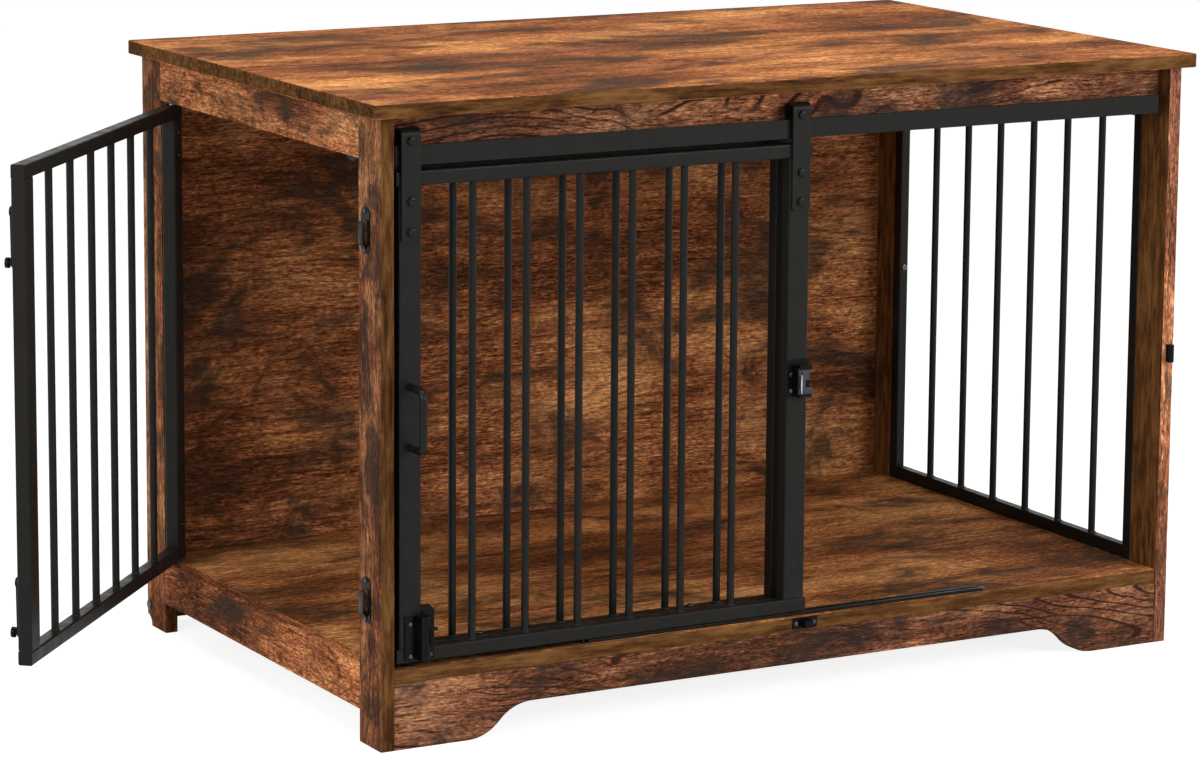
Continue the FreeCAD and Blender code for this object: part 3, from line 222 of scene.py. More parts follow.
def makePlankGroup():
    # the grain runs along the incoming vector's X; a slow noise bends it a little, and the
    # cathedral lines and burnt patches are bent more
    group, gin, gout = newGroup("rusticPlank", [
        ("Vector", "NodeSocketVector", None),
        ("Seed", "NodeSocketFloat", 0.0),
        ("Burn", "NodeSocketFloat", 0.0),
        ("Patch", "NodeSocketFloat", 1.0),
        ("Plum", "NodeSocketFloat", 0.6),
        ("Rings", "NodeSocketFloat", 0.5),
    ], [("Color", "NodeSocketColor"), ("Roughness", "NodeSocketFloat"),
        ("Height", "NodeSocketFloat")])
    look = plankLook
    offset = mathNode(group, "MULTIPLY", gin.outputs["Seed"], look["seedStep"])
    shift = addNode(group, "ShaderNodeCombineXYZ")
    moved = addNode(group, "ShaderNodeVectorMath", operation="ADD")
    wire(group, *((offset, shift.inputs[i]) for i in range(3)),
         (gin.outputs["Vector"], moved.inputs[0]), (shift.outputs[0], moved.inputs[1]))
    wander = addNode(group, "ShaderNodeTexNoise")
    setInputs(wander, look["wander"])
    wire(group, (moved.outputs[0], wander.inputs["Vector"]))

    def bent(reach):
        node = addNode(group, "ShaderNodeVectorMath", operation="MULTIPLY_ADD")
        node.inputs[1].default_value = (reach, reach, reach)
        wire(group, (wander.outputs["Color"], node.inputs[0]), (moved.outputs[0], node.inputs[2]))
        return node.outputs[0]

    def noise(vector, name):
        return noiseNode(group, vector, *look["noise"][name])

    def step(source, name):
        return rangeNode(group, source, *look["step"][name])

    def times(a, b):
        return mathNode(group, "MULTIPLY", a, b)

    def timesPlus(a, b, c):
        return mathNode(group, "MULTIPLY_ADD", a, b, c)

    grain, wild = bent(look["grainBend"]), bent(look["patchBend"])
    patchy = addNode(group, "ShaderNodeVectorMath", operation="SCALE")
    wire(group, (wild, patchy.inputs[0]), (gin.outputs["Patch"], patchy.inputs["Scale"]))
    broad, streak = noise(grain, "broad"), noise(grain, "streak")
    grit, hair = noise(grain, "grit"), noise(grain, "hair")
    smoke = noise(patchy.outputs[0], "smoke")
    # tone: broad zones, streaks in them and a gritty fleck
    gritRise = mathNode(group, "SUBTRACT", grit, 0.5)
    tone = timesPlus(broad, look["broadShare"], times(streak, look["streakShare"]))
    tone = timesPlus(gritRise, look["gritShare"], tone)
    colour = rampNode(group, tone, look["tone"])
    # plum-brown zones
    plum = times(step(noise(wild, "plum"), "plum"), gin.outputs["Plum"])
    colour = mixNode(group, "MIX", plum, colour, look["plum"])
    fleck = rampNode(group, grit, look["fleck"])
    colour = mixNode(group, "MULTIPLY", look["fleckShare"], colour, fleck)
    thread = rampNode(group, hair, look["thread"])
    colour = mixNode(group, "MULTIPLY", look["threadShare"], colour, thread)
    # cathedral lines: thin dark contours of a slow noise, broken here and there
    contour = times(noise(bent(look["lineBend"]), "field"), look["lineCount"])
    wave = mathNode(group, "SINE", timesPlus(grit, look["lineGrit"], contour))
    gate = step(noise(wild, "gate"), "gate")
    crack = times(times(step(wave, "line"), gate), gin.outputs["Rings"])
    # short dark checks along the grain
    dash = times(step(noise(grain, "dash"), "dash"), step(broad, "dashFade"))
    crack = mathNode(group, "MAXIMUM", crack, dash)
    colour = mixNode(group, "MIX", crack, colour, look["crack"])
    # burnt patches with ragged, mottled edges
    edge = timesPlus(gritRise, look["edgeGrit"],
                     timesPlus(gin.outputs["Burn"], look["burnReach"], smoke))
    burnt = mathNode(group, "MAXIMUM", step(edge, "burn"), step(edge, "haze"))
    scorched = mixNode(group, "MIX", look["grainInBurn"], look["burnt"], colour)
    colour = mixNode(group, "MIX", burnt, colour, scorched)
    height = timesPlus(crack, look["crackHeight"], timesPlus(hair, look["hairHeight"], grit))
    wire(group, (colour, gout.inputs["Color"]), (step(grit, "rough"), gout.inputs["Roughness"]),
         (height, gout.inputs["Height"]))
    return group


# the edge band: a plainer olive brown with short streaks
bandLook = {
    "streak": (150.0, 7.0, 4.0, 0.68, 0.2),
    "cloud": (22.0, 2.5, 4.0, 0.65, 0.5),
    "streakShare": 0.62,
    "cloudShare": 0.38,
    "tone": [(0.38, (0.036, 0.015, 0.005)), (0.49, (0.108, 0.044, 0.014)),
             (0.62, (0.215, 0.100, 0.032))],
    "facing": 0.75,
}


def makeBandGroup():
    group, gin, gout = newGroup("edgeBand", [
        ("Vector", "NodeSocketVector", None),
        ("Seed", "NodeSocketFloat", 0.0),
    ], [("Color", "NodeSocketColor")])
    look = bandLook
    shift = addNode(group, "ShaderNodeVectorMath", operation="ADD")
    wire(group, (gin.outputs["Vector"], shift.inputs[0]), (gin.outputs["Seed"], shift.inputs[1]))
    streak = noiseNode(group, shift.outputs[0], *look["streak"])
    cloud = noiseNode(group, shift.outputs[0], *look["cloud"])
    tone = mathNode(group, "MULTIPLY_ADD", streak, look["streakShare"],
                    mathNode(group, "MULTIPLY", cloud, look["cloudShare"]))
    wire(group, (rampNode(group, tone, look["tone"]), gout.inputs["Color"]))
    return group


rusticPlank = makePlankGroup()
edgeBand = makeBandGroup()


def bandMask(tree, faces):
    # 1 on the faces that carry edge band, and on the right posts' inner -X faces, where the band's
    # olive is painted shade: each is an axis letter after "-" or "both"
    normal = addNode(tree, "ShaderNodeNewGeometry")
    split = addNode(tree, "ShaderNodeSeparateXYZ")
    wire(tree, (normal.outputs["True Normal"], split.inputs[0]))
    mask = None
    for face in faces:
        value = split.outputs["XYZ".index(face[-1])]
        if face.startswith("both"):
            value = mathNode(tree, "ABSOLUTE", value)
        elif face.startswith("-"):
            value = mathNode(tree, "MULTIPLY", value, -1.0)
        one = mathNode(tree, "GREATER_THAN", value, bandLook["facing"])
        mask = one if mask is None else mathNode(tree, "MAXIMUM", mask, one)
    return mask


# how boards and steel shine, and the depth of their bump in metres
finish = {
    "boardSpecular": 0.02,
    "boardBump": 0.35,
    "boardDepth": 0.0005,
    "steelDepth": 0.0002,
}


def shaderMaterial(name, settings, group, groupSettings, bumpStrength, bumpDepth, turn=None):
    # a Principled material whose roughness and bump come from a node group on object coordinates;
    # turn lays the coordinates along the grain
    mat = newMaterial(name)
    tree = mat.node_tree
    out = addNode(tree, "ShaderNodeOutputMaterial")
    bsdf = addNode(tree, "ShaderNodeBsdfPrincipled")
    setInputs(bsdf, settings)
    vector = addNode(tree, "ShaderNodeTexCoord").outputs["Object"]
    if turn:
        mapping = addNode(tree, "ShaderNodeMapping")
        setInputs(mapping, {"Rotation": turn})
        wire(tree, (vector, mapping.inputs["Vector"]))
        vector = mapping.outputs[0]
    pattern = addNode(tree, "ShaderNodeGroup", node_tree=group)
    setInputs(pattern, groupSettings)
    bump = addNode(tree, "ShaderNodeBump")
    setInputs(bump, {"Strength": bumpStrength, "Distance": bumpDepth})
    wire(tree, (vector, pattern.inputs["Vector"]),
         (pattern.outputs["Roughness"], bsdf.inputs["Roughness"]),
         (pattern.outputs["Height"], bump.inputs["Height"]),
         (bump.outputs[0], bsdf.inputs["Normal"]), (bsdf.outputs[0], out.inputs["Surface"]))
    return mat, vector, pattern.outputs["Color"], bsdf.inputs["Base Color"]


def boardMaterial(name, turn, seed, burn, patch, plum, rings, faces, toneAndLightTint):
    mat, vector, colour, base = shaderMaterial(
        name, {"Specular IOR Level": finish["boardSpecular"]}, rusticPlank,
        {"Seed": seed, "Burn": burn, "Patch": patch, "Plum": plum, "Rings": rings},
        finish["boardBump"], finish["boardDepth"], turn)
    tree = mat.node_tree
    # the tint multiplies the print: partly the board's own tone, partly painted light and shade
    colour = mixNode(tree, "MULTIPLY", 1.0, colour, toneAndLightTint)
    if faces:
        band = addNode(tree, "ShaderNodeGroup", node_tree=edgeBand)
        setInputs(band, {"Seed": seed})
        wire(tree, (vector, band.inputs["Vector"]))
        colour = mixNode(tree, "MIX", bandMask(tree, faces), colour, band.outputs["Color"])
    wire(tree, (colour, base))
    return mat


# the powder coat: fine orange peel and faint rubbed patches
coatLook = {
    "cloud": (42.0, 1.0, 5.0, 0.62),
    "speck": (900.0, 1.0, 2.0, 0.5),
    "peel": (1300.0, 1.0, 1.5, 0.5),
    "rubbed": (0.46, 0.80, 0.0, 0.8),
    "specks": (0.60, 0.76, 0.0, 0.6),
    "dulled": (0.3, 0.7, 0.10, -0.06),
}


def makeCoatGroup():
    group, gin, gout = newGroup("powderCoat", [
        ("Vector", "NodeSocketVector", None),
        ("Base", "NodeSocketColor", (0.02, 0.02, 0.02, 1)),
        ("Worn", "NodeSocketColor", (0.06, 0.06, 0.06, 1)),
        ("Gloss", "NodeSocketFloat", 0.45),
    ], [("Color", "NodeSocketColor"), ("Roughness", "NodeSocketFloat"),
        ("Height", "NodeSocketFloat")])
    look = coatLook
    cloud, speck, peel = (noiseNode(group, gin.outputs["Vector"], *look[name])
                          for name in ("cloud", "speck", "peel"))
    mask = mathNode(group, "MAXIMUM", rangeNode(group, cloud, *look["rubbed"]),
                    rangeNode(group, speck, *look["specks"]))
    colour = mixNode(group, "MIX", mask, gin.outputs["Base"], gin.outputs["Worn"])
    rough = mathNode(group, "ADD", rangeNode(group, cloud, *look["dulled"]), gin.outputs["Gloss"])
    wire(group, (colour, gout.inputs["Color"]), (rough, gout.inputs["Roughness"]),
         (peel, gout.inputs["Height"]))
    return group


powderCoat = makeCoatGroup()


def metalMaterial(name, base, worn, metallic, gloss, bumpStrength, specular):
    mat, _, colour, baseColour = shaderMaterial(
        name, {"Metallic": metallic, "Specular IOR Level": specular}, powderCoat,
        {"Base": (*base, 1), "Worn": (*worn, 1), "Gloss": gloss},
        bumpStrength, finish["steelDepth"])
    wire(mat.node_tree, (colour, baseColour))
    return mat


# base colour, rubbed colour, metallic, roughness, bump and specular level
metalLooks = {
    "coatedSteel": ((0.0080, 0.0076, 0.0062), (0.0160, 0.0152, 0.0125), 0.0, 0.38, 0.22, 0.13),
    "blackHardware": ((0.0026, 0.0026, 0.0027), (0.0070, 0.0070, 0.0072), 0.0, 0.22, 0.14, 0.09),
    "boltSteel": ((0.0065, 0.0062, 0.0054), (0.0170, 0.0165, 0.0150), 0.0, 0.24, 0.10, 0.15),
    "screwSteel": ((0.0500, 0.0495, 0.0480), (0.1400, 0.1380, 0.1330), 1.0, 0.20, 0.10, 0.50),
    "brightPin": ((0.62, 0.62, 0.60), (0.40, 0.39, 0.37), 1.0, 0.28, 0.08, 0.5),
    "blueSteel": ((0.045, 0.050, 0.060), (0.024, 0.026, 0.031), 0.5, 0.34, 0.08, 0.3),
    "blackNylon": ((0.008, 0.008, 0.009), (0.016, 0.016, 0.017), 0.0, 0.55, 0.1, 0.25),
}
metals = {name: metalMaterial(name, *look) for name, look in metalLooks.items()}
# as in boardLooks below: turn, seed, burn, patch scale, plum, rings, edge-band faces and tint
dowelLook = ((0, 0, 0), 2.0, -1.0, 1.0, 0.0, 0.0, (), (1.3, 1.5, 1.9))
metals["dowelWood"] = boardMaterial("dowelWood", *dowelLook)
print("materials made")


def paint(node, material):
    # the CAD node's own slots take the material
    obj = frame["nodes"][node]
    obj.data.materials.clear()
    obj.data.materials.append(material)


def camel(node):
    # a node's name in camel case
    words = node.split("_")
    return words[0] + "".join(word.title() for word in words[1:])


# turns of the grain, and tints that multiply the print: each sets a board's brightness and hue,
# partly its own tone and partly painted light and shade for how the board is lit
alongX = (0.0, 0.0, 0.0)
alongY = (0.0, 0.0, -math.pi / 2)
alongZ = (0.0, math.pi / 2, 0.0)
plain = (1.0, 1.0, 1.0)
# painted light: the right front post's print is brightened because it is lit from the front and
# right
paintedLightTint = (1.70, 1.80, 1.95)
topTint = (1.42, 1.32, 1.06)
headTint = (1.28, 1.25, 1.20)
footTint = (1.60, 1.55, 1.45)
sideTint = (0.84, 0.86, 0.90)
apronTint = (1.16, 1.30, 1.55)
skirtTint = (0.90, 0.98, 1.15)
# painted shade: the back right post's print is darkened because it stands in shade inside the
# crate
paintedShadeTint = (0.5, 0.42, 0.36)
backTint = (1.02, 1.02, 0.92)
floorTint = (1.28, 1.32, 1.10)

# for each board: its turn, seed, burn, patch scale, plum, rings, edge-band faces and tint; the
# tint is partly painted light and shade
boardLooks = {
    "table_top": (alongX, 3.1, 0.50, 0.85, 0.60, 0.35, ("bothX", "bothY"), topTint),
    "post_front_left": (alongZ, 1.7, 0.90, 2.3, 0.4, 0.15, ("bothY",), sideTint),
    # the right front post: its tint is painted light, and the edge band's darker olive on its
    # inner -X face is painted shade
    "post_front_right": (alongZ, 9.3, 0.3, 2.3, 0.4, 0.15, ("-X",), paintedLightTint),
    "post_back_left": (alongZ, 5.2, 0.6, 1.9, 0.5, 0.15, ("bothY",), plain),
    # the back right post: its tint and the edge band's darker olive on its inner -X face are
    # painted shade
    "post_back_right": (alongZ, 7.9, 0.6, 1.9, 0.5, 0.15, ("-X", "bothY"), paintedShadeTint),
    "side_rail_left_top": (alongY, 11.2, 0.7, 1.6, 0.3, 0.4, (), headTint),
    "side_rail_left_bottom": (alongY, 12.8, 0.3, 1.4, 0.2, 0.6, (), footTint),
    "side_rail_right_top": (alongY, 14.1, 0.4, 1.4, 0.5, 0.5, (), plain),
    "side_rail_right_bottom": (alongY, 15.6, 0.4, 1.4, 0.5, 0.5, (), plain),
    "front_apron": (alongX, 17.3, 0.6, 1.5, 0.2, 1.0, (), apronTint),
    "back_panel": (alongX, 19.8, 0.50, 1.2, 0.0, 0.5, (), backTint),
    "bottom_panel": (alongX, 22.4, 0.35, 1.1, 0.1, 0.3, ("bothY",), floorTint),
    "front_skirt": (alongX, 25.7, 0.60, 1.5, 0.3, 1.0, (), skirtTint),
}

hardwareNodes = [
    "bolt_body", "bolt_pin", "bolt_keeper", "latch_base", "latch_keeper", "lever_plates",
    "lever_keepers", "drop_lever_upper", "drop_lever_lower", "door_stop", "hanger_roller_left",
    "hanger_roller_right",
]
for node in frame["nodes"]:
    if node == "hinge_pins":
        paint(node, metals["brightPin"])
    elif node in ("guide_block", "hinge_bushes"):
        paint(node, metals["blackNylon"])
    elif node.endswith("_screws") or node == "panel_bolts":
        paint(node, metals["screwSteel"])
    elif node in hardwareNodes:
        paint(node, metals["blackHardware"])
    elif node == "latch_slide":
        paint(node, metals["blueSteel"])
    elif node == "frame_dowels":
        paint(node, metals["dowelWood"])
    elif node not in boardLooks:
        paint(node, metals["coatedSteel"])
print("nodes painted")


def roundRect(u0, u1, v0, v1, corner, steps=4):
    # a rectangle with quarter-circle corners, counter-clockwise
    angle = np.linspace(0, math.pi / 2, steps + 1)
    parts = []
    for cu, cv, start in ((u1 - corner, v1 - corner, 0.0), (u0 + corner, v1 - corner, 0.5),
                          (u0 + corner, v0 + corner, 1.0), (u1 - corner, v0 + corner, 1.5)):
        turn = start * math.pi + angle
        parts.append(np.stack([cu + corner * np.cos(turn), cv + corner * np.sin(turn)], 1))
    return np.concatenate(parts)


def gridFaces(rows, columns):
    # quads of a grid whose columns close on themselves
    r, c = np.meshgrid(np.arange(rows - 1), np.arange(columns), indexing="ij")
    after = (c + 1) % columns
    here, above = r * columns, (r + 1) * columns
    return np.stack([here + c, here + after, above + after, above + c], -1).reshape(-1, 4).tolist()


def slab(outline, low, high, along, rim, steps=3):
    # the columns run round the outline; the rows climb from the lower face over its rounded rim,
    # up the side and over the upper rim: inset = rim(1 - sin t), rise = rim(1 - cos t)
    ring = np.asarray(outline, float)
    before = ring - np.roll(ring, 1, 0)
    after = np.roll(ring, -1, 0) - ring
    before /= np.linalg.norm(before, axis=1, keepdims=True)
    after /= np.linalg.norm(after, axis=1, keepdims=True)
    n1 = np.stack([before[:, 1], -before[:, 0]], 1)
    n2 = np.stack([after[:, 1], -after[:, 0]], 1)
    mitre = (n1 + n2) / (1 + np.sum(n1 * n2, 1, keepdims=True))
    t = np.linspace(0, math.pi / 2, steps + 1)
    inset, rise = rim * (1 - np.sin(t)), rim * (1 - np.cos(t))
    inset = np.concatenate([inset, inset[::-1]])
    climb = np.concatenate([low + rise, (high - rise)[::-1]])
    flat = ring[None] - inset[:, None, None] * mitre[None]
    lift = np.broadcast_to(climb[:, None, None], flat.shape[:2] + (1,))
    points = np.concatenate([flat, lift], 2).reshape(-1, 3)
    # u, v and the push are X, Y, Z for "z", Y, Z, X for "x" and Z, X, Y for "y"
    points = points[:, {"z": (0, 1, 2), "x": (2, 0, 1), "y": (1, 2, 0)}[along]]
    rows, columns = len(climb), len(ring)
    faces = gridFaces(rows, columns)
    faces.append(list(range(columns))[::-1])
    faces.append(list(range((rows - 1) * columns, rows * columns)))
    return points, faces


def turned(profile, centre, axis, count, radiusOf=None):
    # a profile of (radius, height) pairs turned round an axis; the first and last pairs lie on
    # the axis and close it. radiusOf scales the radius by the angle, as for a six-sided head
    angle = np.linspace(0, 2 * math.pi, count, endpoint=False)
    profile = np.asarray(profile, float)
    scale = np.ones(count) if radiusOf is None else radiusOf(angle)
    radius = profile[1:-1, :1] * scale[None]
    axis = Vector(axis).normalized()
    side = axis.orthogonal().normalized()
    other = axis.cross(side)
    axis, side, other = (np.array(v) for v in (axis, side, other))
    outward = np.cos(angle)[:, None] * side + np.sin(angle)[:, None] * other
    points = radius[..., None] * outward[None] + profile[1:-1, 1][:, None, None] * axis
    rows = len(profile) - 2
    points = np.concatenate([points.reshape(-1, 3), [profile[0, 1] * axis, profile[-1, 1] * axis]])
    faces = gridFaces(rows, count)
    first, last, rim = rows * count, rows * count + 1, (rows - 1) * count
    turn = np.arange(count)
    after = (turn + 1) % count
    faces += np.stack([np.full(count, first), after, turn], 1).tolist()
    faces += np.stack([rim + turn, rim + after, np.full(count, last)], 1).tolist()
    return points + np.asarray(centre, float), faces


def joined(parts):
    # several closed surfaces as one set of points and faces
    points, faces, start = [], [], 0
    for p, f in parts:
        points.append(p)
        faces += [[i + start for i in face] for face in f]
        start += len(p)
    return np.concatenate(points), faces


def makePiece(name, surface, material, body, nodes=(), smooth=0.0):
    # smooth is the angle in degrees under which edges are shaded round
    points, faces = surface
    mesh = bpy.data.meshes.new(name)
    mesh.from_pydata(np.asarray(points).tolist(), [], faces)
    mesh.materials.append(material)
    if smooth:
        mesh.shade_smooth()
        mesh.set_sharp_from_angle(angle=math.radians(smooth))
    mesh.update()
    piece = bpy.data.objects.new(name, mesh)
    bpy.context.scene.collection.objects.link(piece)
    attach(piece, body)
    if nodes:
        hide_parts(*nodes)


def bodyOf(node):
    return body_of(frame["nodes"][node])[0]


# the boards' eased edges, the back posts' notch and the skirt's outline, in metres
boardShape = {
    "arris": 0.0009,
    "topArris": 0.0014,
    "topCorner": 0.0035,
    "corner": 0.0015,
    "footNotch": 0.012,
    "skirtFoot": 0.084,
    "skirtFlare": 0.074,
    "skirtArch": 0.033,
    "arcPoints": 12,
    "notchPoints": 9,
    "cornerSteps": 2,
}


def skirtOutline(x0, x1, top):
    # level feet, an ogee of two equal arcs up to the arch, and the straight top
    s = boardShape
    half, mid = s["skirtFlare"] / 2, s["skirtArch"] / 2
    radius = (half ** 2 + mid ** 2) / (2 * mid)
    t = np.linspace(0, math.asin(half / radius), s["arcPoints"])
    footX, flatX = x1 - s["skirtFoot"], x1 - s["skirtFoot"] - s["skirtFlare"]
    low = np.stack([footX - radius * np.sin(t), radius * (1 - np.cos(t))], 1)
    high = np.stack([flatX + radius * np.sin(t), s["skirtArch"] - radius * (1 - np.cos(t))], 1)
    right = np.concatenate([low, high[-2::-1]])
    left = right * (-1, 1)
    outline = np.concatenate([[(x0, 0)], left, right[::-1], [(x1, 0), (x1, top), (x0, top)]])
    return outline[::-1, ::-1]


def notchedOutline(y0, y1, top):
    # a back post seen from the side: its outer bottom corner is cut by a quarter circle
    notch = boardShape["footNotch"]
    t = np.linspace(math.pi, math.pi / 2, boardShape["notchPoints"])
    arc = np.stack([y1 + notch * np.cos(t), notch * np.sin(t)], 1)
    return np.concatenate([[(y0, 0)], arc, [(y1, top), (y0, top)]])


def makeBoards():
    s = boardShape
    corner = (s["corner"], s["cornerSteps"])
    for node, look in boardLooks.items():
        (x0, y0, z0), (x1, y1, z1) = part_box(node)
        thin = min((x1 - x0, "x"), (y1 - y0, "y"), (z1 - z0, "z"))[1]
        if node == "table_top":
            surface = slab(roundRect(x0, x1, y0, y1, s["topCorner"]), z0, z1, "z", s["topArris"])
        elif node == "front_skirt":
            surface = slab(skirtOutline(x0, x1, z1), y0, y1, "y", s["arris"])
        elif node.startswith("post_back"):
            surface = slab(notchedOutline(y0, y1, z1), x0, x1, "x", s["arris"])
        elif thin == "x":
            surface = slab(roundRect(y0, y1, z0, z1, *corner), x0, x1, "x", s["arris"])
        elif thin == "y":
            surface = slab(roundRect(z0, z1, x0, x1, *corner), y0, y1, "y", s["arris"])
        else:
            surface = slab(roundRect(x0, x1, y0, y1, *corner), z0, z1, "z", s["arris"])
        name = camel(node) + "Board"
        material = boardMaterial(name, *look)
        makePiece(name, surface, material, bodyOf(node), (node,))


makeBoards()
print("boards made")

# the steel tubes' rounded long edges and squared ends and the bars' weld beads, in metres, and
# the open door's pivot and turn in degrees
tubeShape = {
    "corner": 0.0018,
    "endRim": 0.0004,
    "rimSteps": 2,
    "bar": 0.004,
    "bead": 0.0022,
    "beadRoot": 0.0002,
    "beadPoints": 5,
    "beadSides": 14,
    "beadSmooth": 50,
    "swingPivot": (-0.481, 0.2325),
    "swingOpen": -42.0,
}


def tubeSurface(x0, x1, y0, y1, z0, z1):
    # a rounded rectangle pushed along the tube's longest side
    size = {"x": x1 - x0, "y": y1 - y0, "z": z1 - z0}
    along = max(size, key=size.get)
    corner, end = tubeShape["corner"], (tubeShape["endRim"], tubeShape["rimSteps"])
    if along == "z":
        return slab(roundRect(x0, x1, y0, y1, corner), z0, z1, "z", *end)
    if along == "x":
        return slab(roundRect(y0, y1, z0, z1, corner), x0, x1, "x", *end)
    return slab(roundRect(z0, z1, x0, x1, corner), y0, y1, "y", *end)


def beadSurface(place, up):
    # a weld bead: the bar's radius swells into a foot on the rail
    s = tubeShape
    r, b, root = s["bar"], s["bead"], s["beadRoot"]
    t = np.linspace(0, math.pi / 2, s["beadPoints"])
    rim = np.stack([r + b * (1 - np.sin(t)), b * (1 - np.cos(t))], 1)
    profile = np.concatenate([[(0, -root)], [(r + b, -root)], rim, [(0, b)]])
    return turned(profile, place, (0, 0, up), s["beadSides"])


def swung(surface):
    # from the closed door to its open rest, about the hinge pins
    points, faces = surface
    px, py = tubeShape["swingPivot"]
    a = math.radians(tubeShape["swingOpen"])
    x, y = points[:, 0] - px, points[:, 1] - py
    cos, sin = math.cos(a), math.sin(a)
    return np.stack([px + x * cos - y * sin, py + x * sin + y * cos, points[:, 2]], 1), faces


def makeSlideFrame():
    for node in ("slide_door_stile_left", "slide_door_stile_right",
                 "slide_door_rail_top", "slide_door_rail_bottom"):
        (x0, y0, z0), (x1, y1, z1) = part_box(node)
        makePiece(camel(node.replace("door_", "")), tubeSurface(x0, x1, y0, y1, z0, z1),
                  metals["coatedSteel"], bodyOf(node), (node,))


# the widths of the two fixed grilles' tubes, and how many bars each frame has
grilleShape = {
    "fixedStile": 0.025,
    "fixedHead": 0.030,
    "rail": 0.015,
    "rightStile": 0.015,
    "barCount": 6,
}


def frameTubes(low, high, across, stile, foot, head):
    # a frame's two stiles and, between them, its two rails; across is the axis of its width
    def tube(a0, a1, z0, z1):
        start, end = list(low), list(high)
        start[across], end[across], start[2], end[2] = a0, a1, z0, z1
        return tubeSurface(start[0], end[0], start[1], end[1], start[2], end[2])

    a0, a1, z0, z1 = low[across], high[across], low[2], high[2]
    stiles = [tube(a0, a0 + stile, z0, z1), tube(a1 - stile, a1, z0, z1)]
    rails = [tube(a0 + stile, a1 - stile, z0, z0 + foot),
             tube(a0 + stile, a1 - stile, z1 - head, z1)]
    return joined(stiles), joined(rails)


def makeGrilles():
    g = grilleShape
    for side, across, stile, head in (("fixed", 0, g["fixedStile"], g["fixedHead"]),
                                      ("right", 1, g["rightStile"], g["rail"])):
        low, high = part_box(side + "_grille_stiles")
        stiles, rails = frameTubes(low, high, across, stile, g["rail"], head)
        makePiece(side + "GrilleStiles", stiles, metals["coatedSteel"], "cabinet",
                  (side + "_grille_stiles",))
        makePiece(side + "GrilleRails", rails, metals["coatedSteel"], "cabinet",
                  (side + "_grille_rails",))


# the hinged door's frame as it stands closed, in metres
swingShape = {
    "outer": -0.4885,
    "inner": -0.4735,
    "half": 0.245,
    "low": 0.088,
    "high": 0.598,
    "stile": 0.025,
    "rail": 0.015,
}


def makeSwingFrame():
    s = swingShape
    x0, x1, half, low, high = s["outer"], s["inner"], s["half"], s["low"], s["high"]
    tubes = {
        "swing_door_stile_hinge": (half - s["stile"], half, low + s["rail"], high - s["rail"]),
        "swing_door_stile_free": (-half, s["stile"] - half, low + s["rail"], high - s["rail"]),
        "swing_door_rail_top": (-half, half, high - s["rail"], high),
        "swing_door_rail_bottom": (-half, half, low, low + s["rail"]),
    }
    for node, (y0, y1, z0, z1) in tubes.items():
        makePiece(camel(node.replace("door_", "")), swung(tubeSurface(x0, x1, y0, y1, z0, z1)),
                  metals["coatedSteel"], "swinging_door", (node,))


def makeBeads():
    # one bead at each end of every bar
    r = tubeShape["bar"]
    for node, name in (("slide_door_bars", "slideBarWelds"),
                       ("fixed_grille_bars", "fixedBarWelds"),
                       ("right_grille_bars", "rightBarWelds"),
                       ("swing_door_bars", "swingBarWelds")):
        (x0, y0, z0), (x1, y1, z1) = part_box(node)
        first = np.array([x0 + r, y0 + r])
        last = np.array([x1 - r, y1 - r])
        beads = []
        for share in np.linspace(0, 1, grilleShape["barCount"]):
            px, py = first + (last - first) * share
            beads.append(beadSurface((px, py, z0), 1))
            beads.append(beadSurface((px, py, z1), -1))
        makePiece(name, joined(beads), metals["coatedSteel"], bodyOf(node), (),
                  tubeShape["beadSmooth"])


makeSlideFrame()
makeGrilles()
makeSwingFrame()
makeBeads()
print("frames made")

# merging distance in metres, and degrees: flat is the bend that still counts as one face, and
# edges bent less than smooth are shaded round
softEdge = {
    "merge": 0.000002,
    "flat": 0.5,
    "smooth": 38.0,
    "segments": 2,
}


def softened(name, node, material, width):
    # a copy of the CAD node: doubles merged, flat faces made whole, edges eased by width
    s = softEdge
    mesh = frame["nodes"][node].data.copy()
    mesh.name = name
    work = bmesh.new()
    work.from_mesh(mesh)
    bmesh.ops.remove_doubles(work, verts=work.verts, dist=s["merge"])
    bmesh.ops.dissolve_limit(work, angle_limit=math.radians(s["flat"]), verts=work.verts,
                             edges=work.edges)
    work.to_mesh(mesh)
    work.free()
    mesh.materials.clear()
    mesh.materials.append(material)
    mesh.shade_smooth()
    mesh.set_sharp_from_angle(angle=math.radians(s["smooth"]))
    piece = bpy.data.objects.new(name, mesh)
    bpy.context.scene.collection.objects.link(piece)
    if width:
        bevel = piece.modifiers.new("easedEdges", "BEVEL")
        bevel.width = width
        bevel.segments = s["segments"]
        bevel.limit_method = "ANGLE"
        bevel.angle_limit = math.radians(s["smooth"])
        bevel.harden_normals = True
    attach(piece, bodyOf(node))
    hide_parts(node)


# for each node: its material and the width of its eased edges
softNodes = {
    "hanger_strap_left": ("coatedSteel", 0.0005),
    "hanger_strap_right": ("coatedSteel", 0.0005),
    "slide_rail": ("coatedSteel", 0.0004),
    "guide_track": ("coatedSteel", 0.0003),
    "pull_handle": ("boltSteel", 0.0),
    "bolt_body": ("blackHardware", 0.0003),
    "bolt_pin": ("blackHardware", 0.0004),
    "latch_base": ("blackHardware", 0.0003),
    "latch_slide": ("blueSteel", 0.0003),
    "bolt_keeper": ("blackHardware", 0.0004),
    "latch_keeper": ("blackHardware", 0.0004),
    "lever_plates": ("blackHardware", 0.0003),
    "lever_keepers": ("blackHardware", 0.0004),
    "drop_lever_upper": ("blackHardware", 0.0005),
    "drop_lever_lower": ("blackHardware", 0.0005),
    "door_stop": ("blackHardware", 0.0003),
}
for node, (metal, width) in softNodes.items():
    softened(camel(node), node, metals[metal], width)

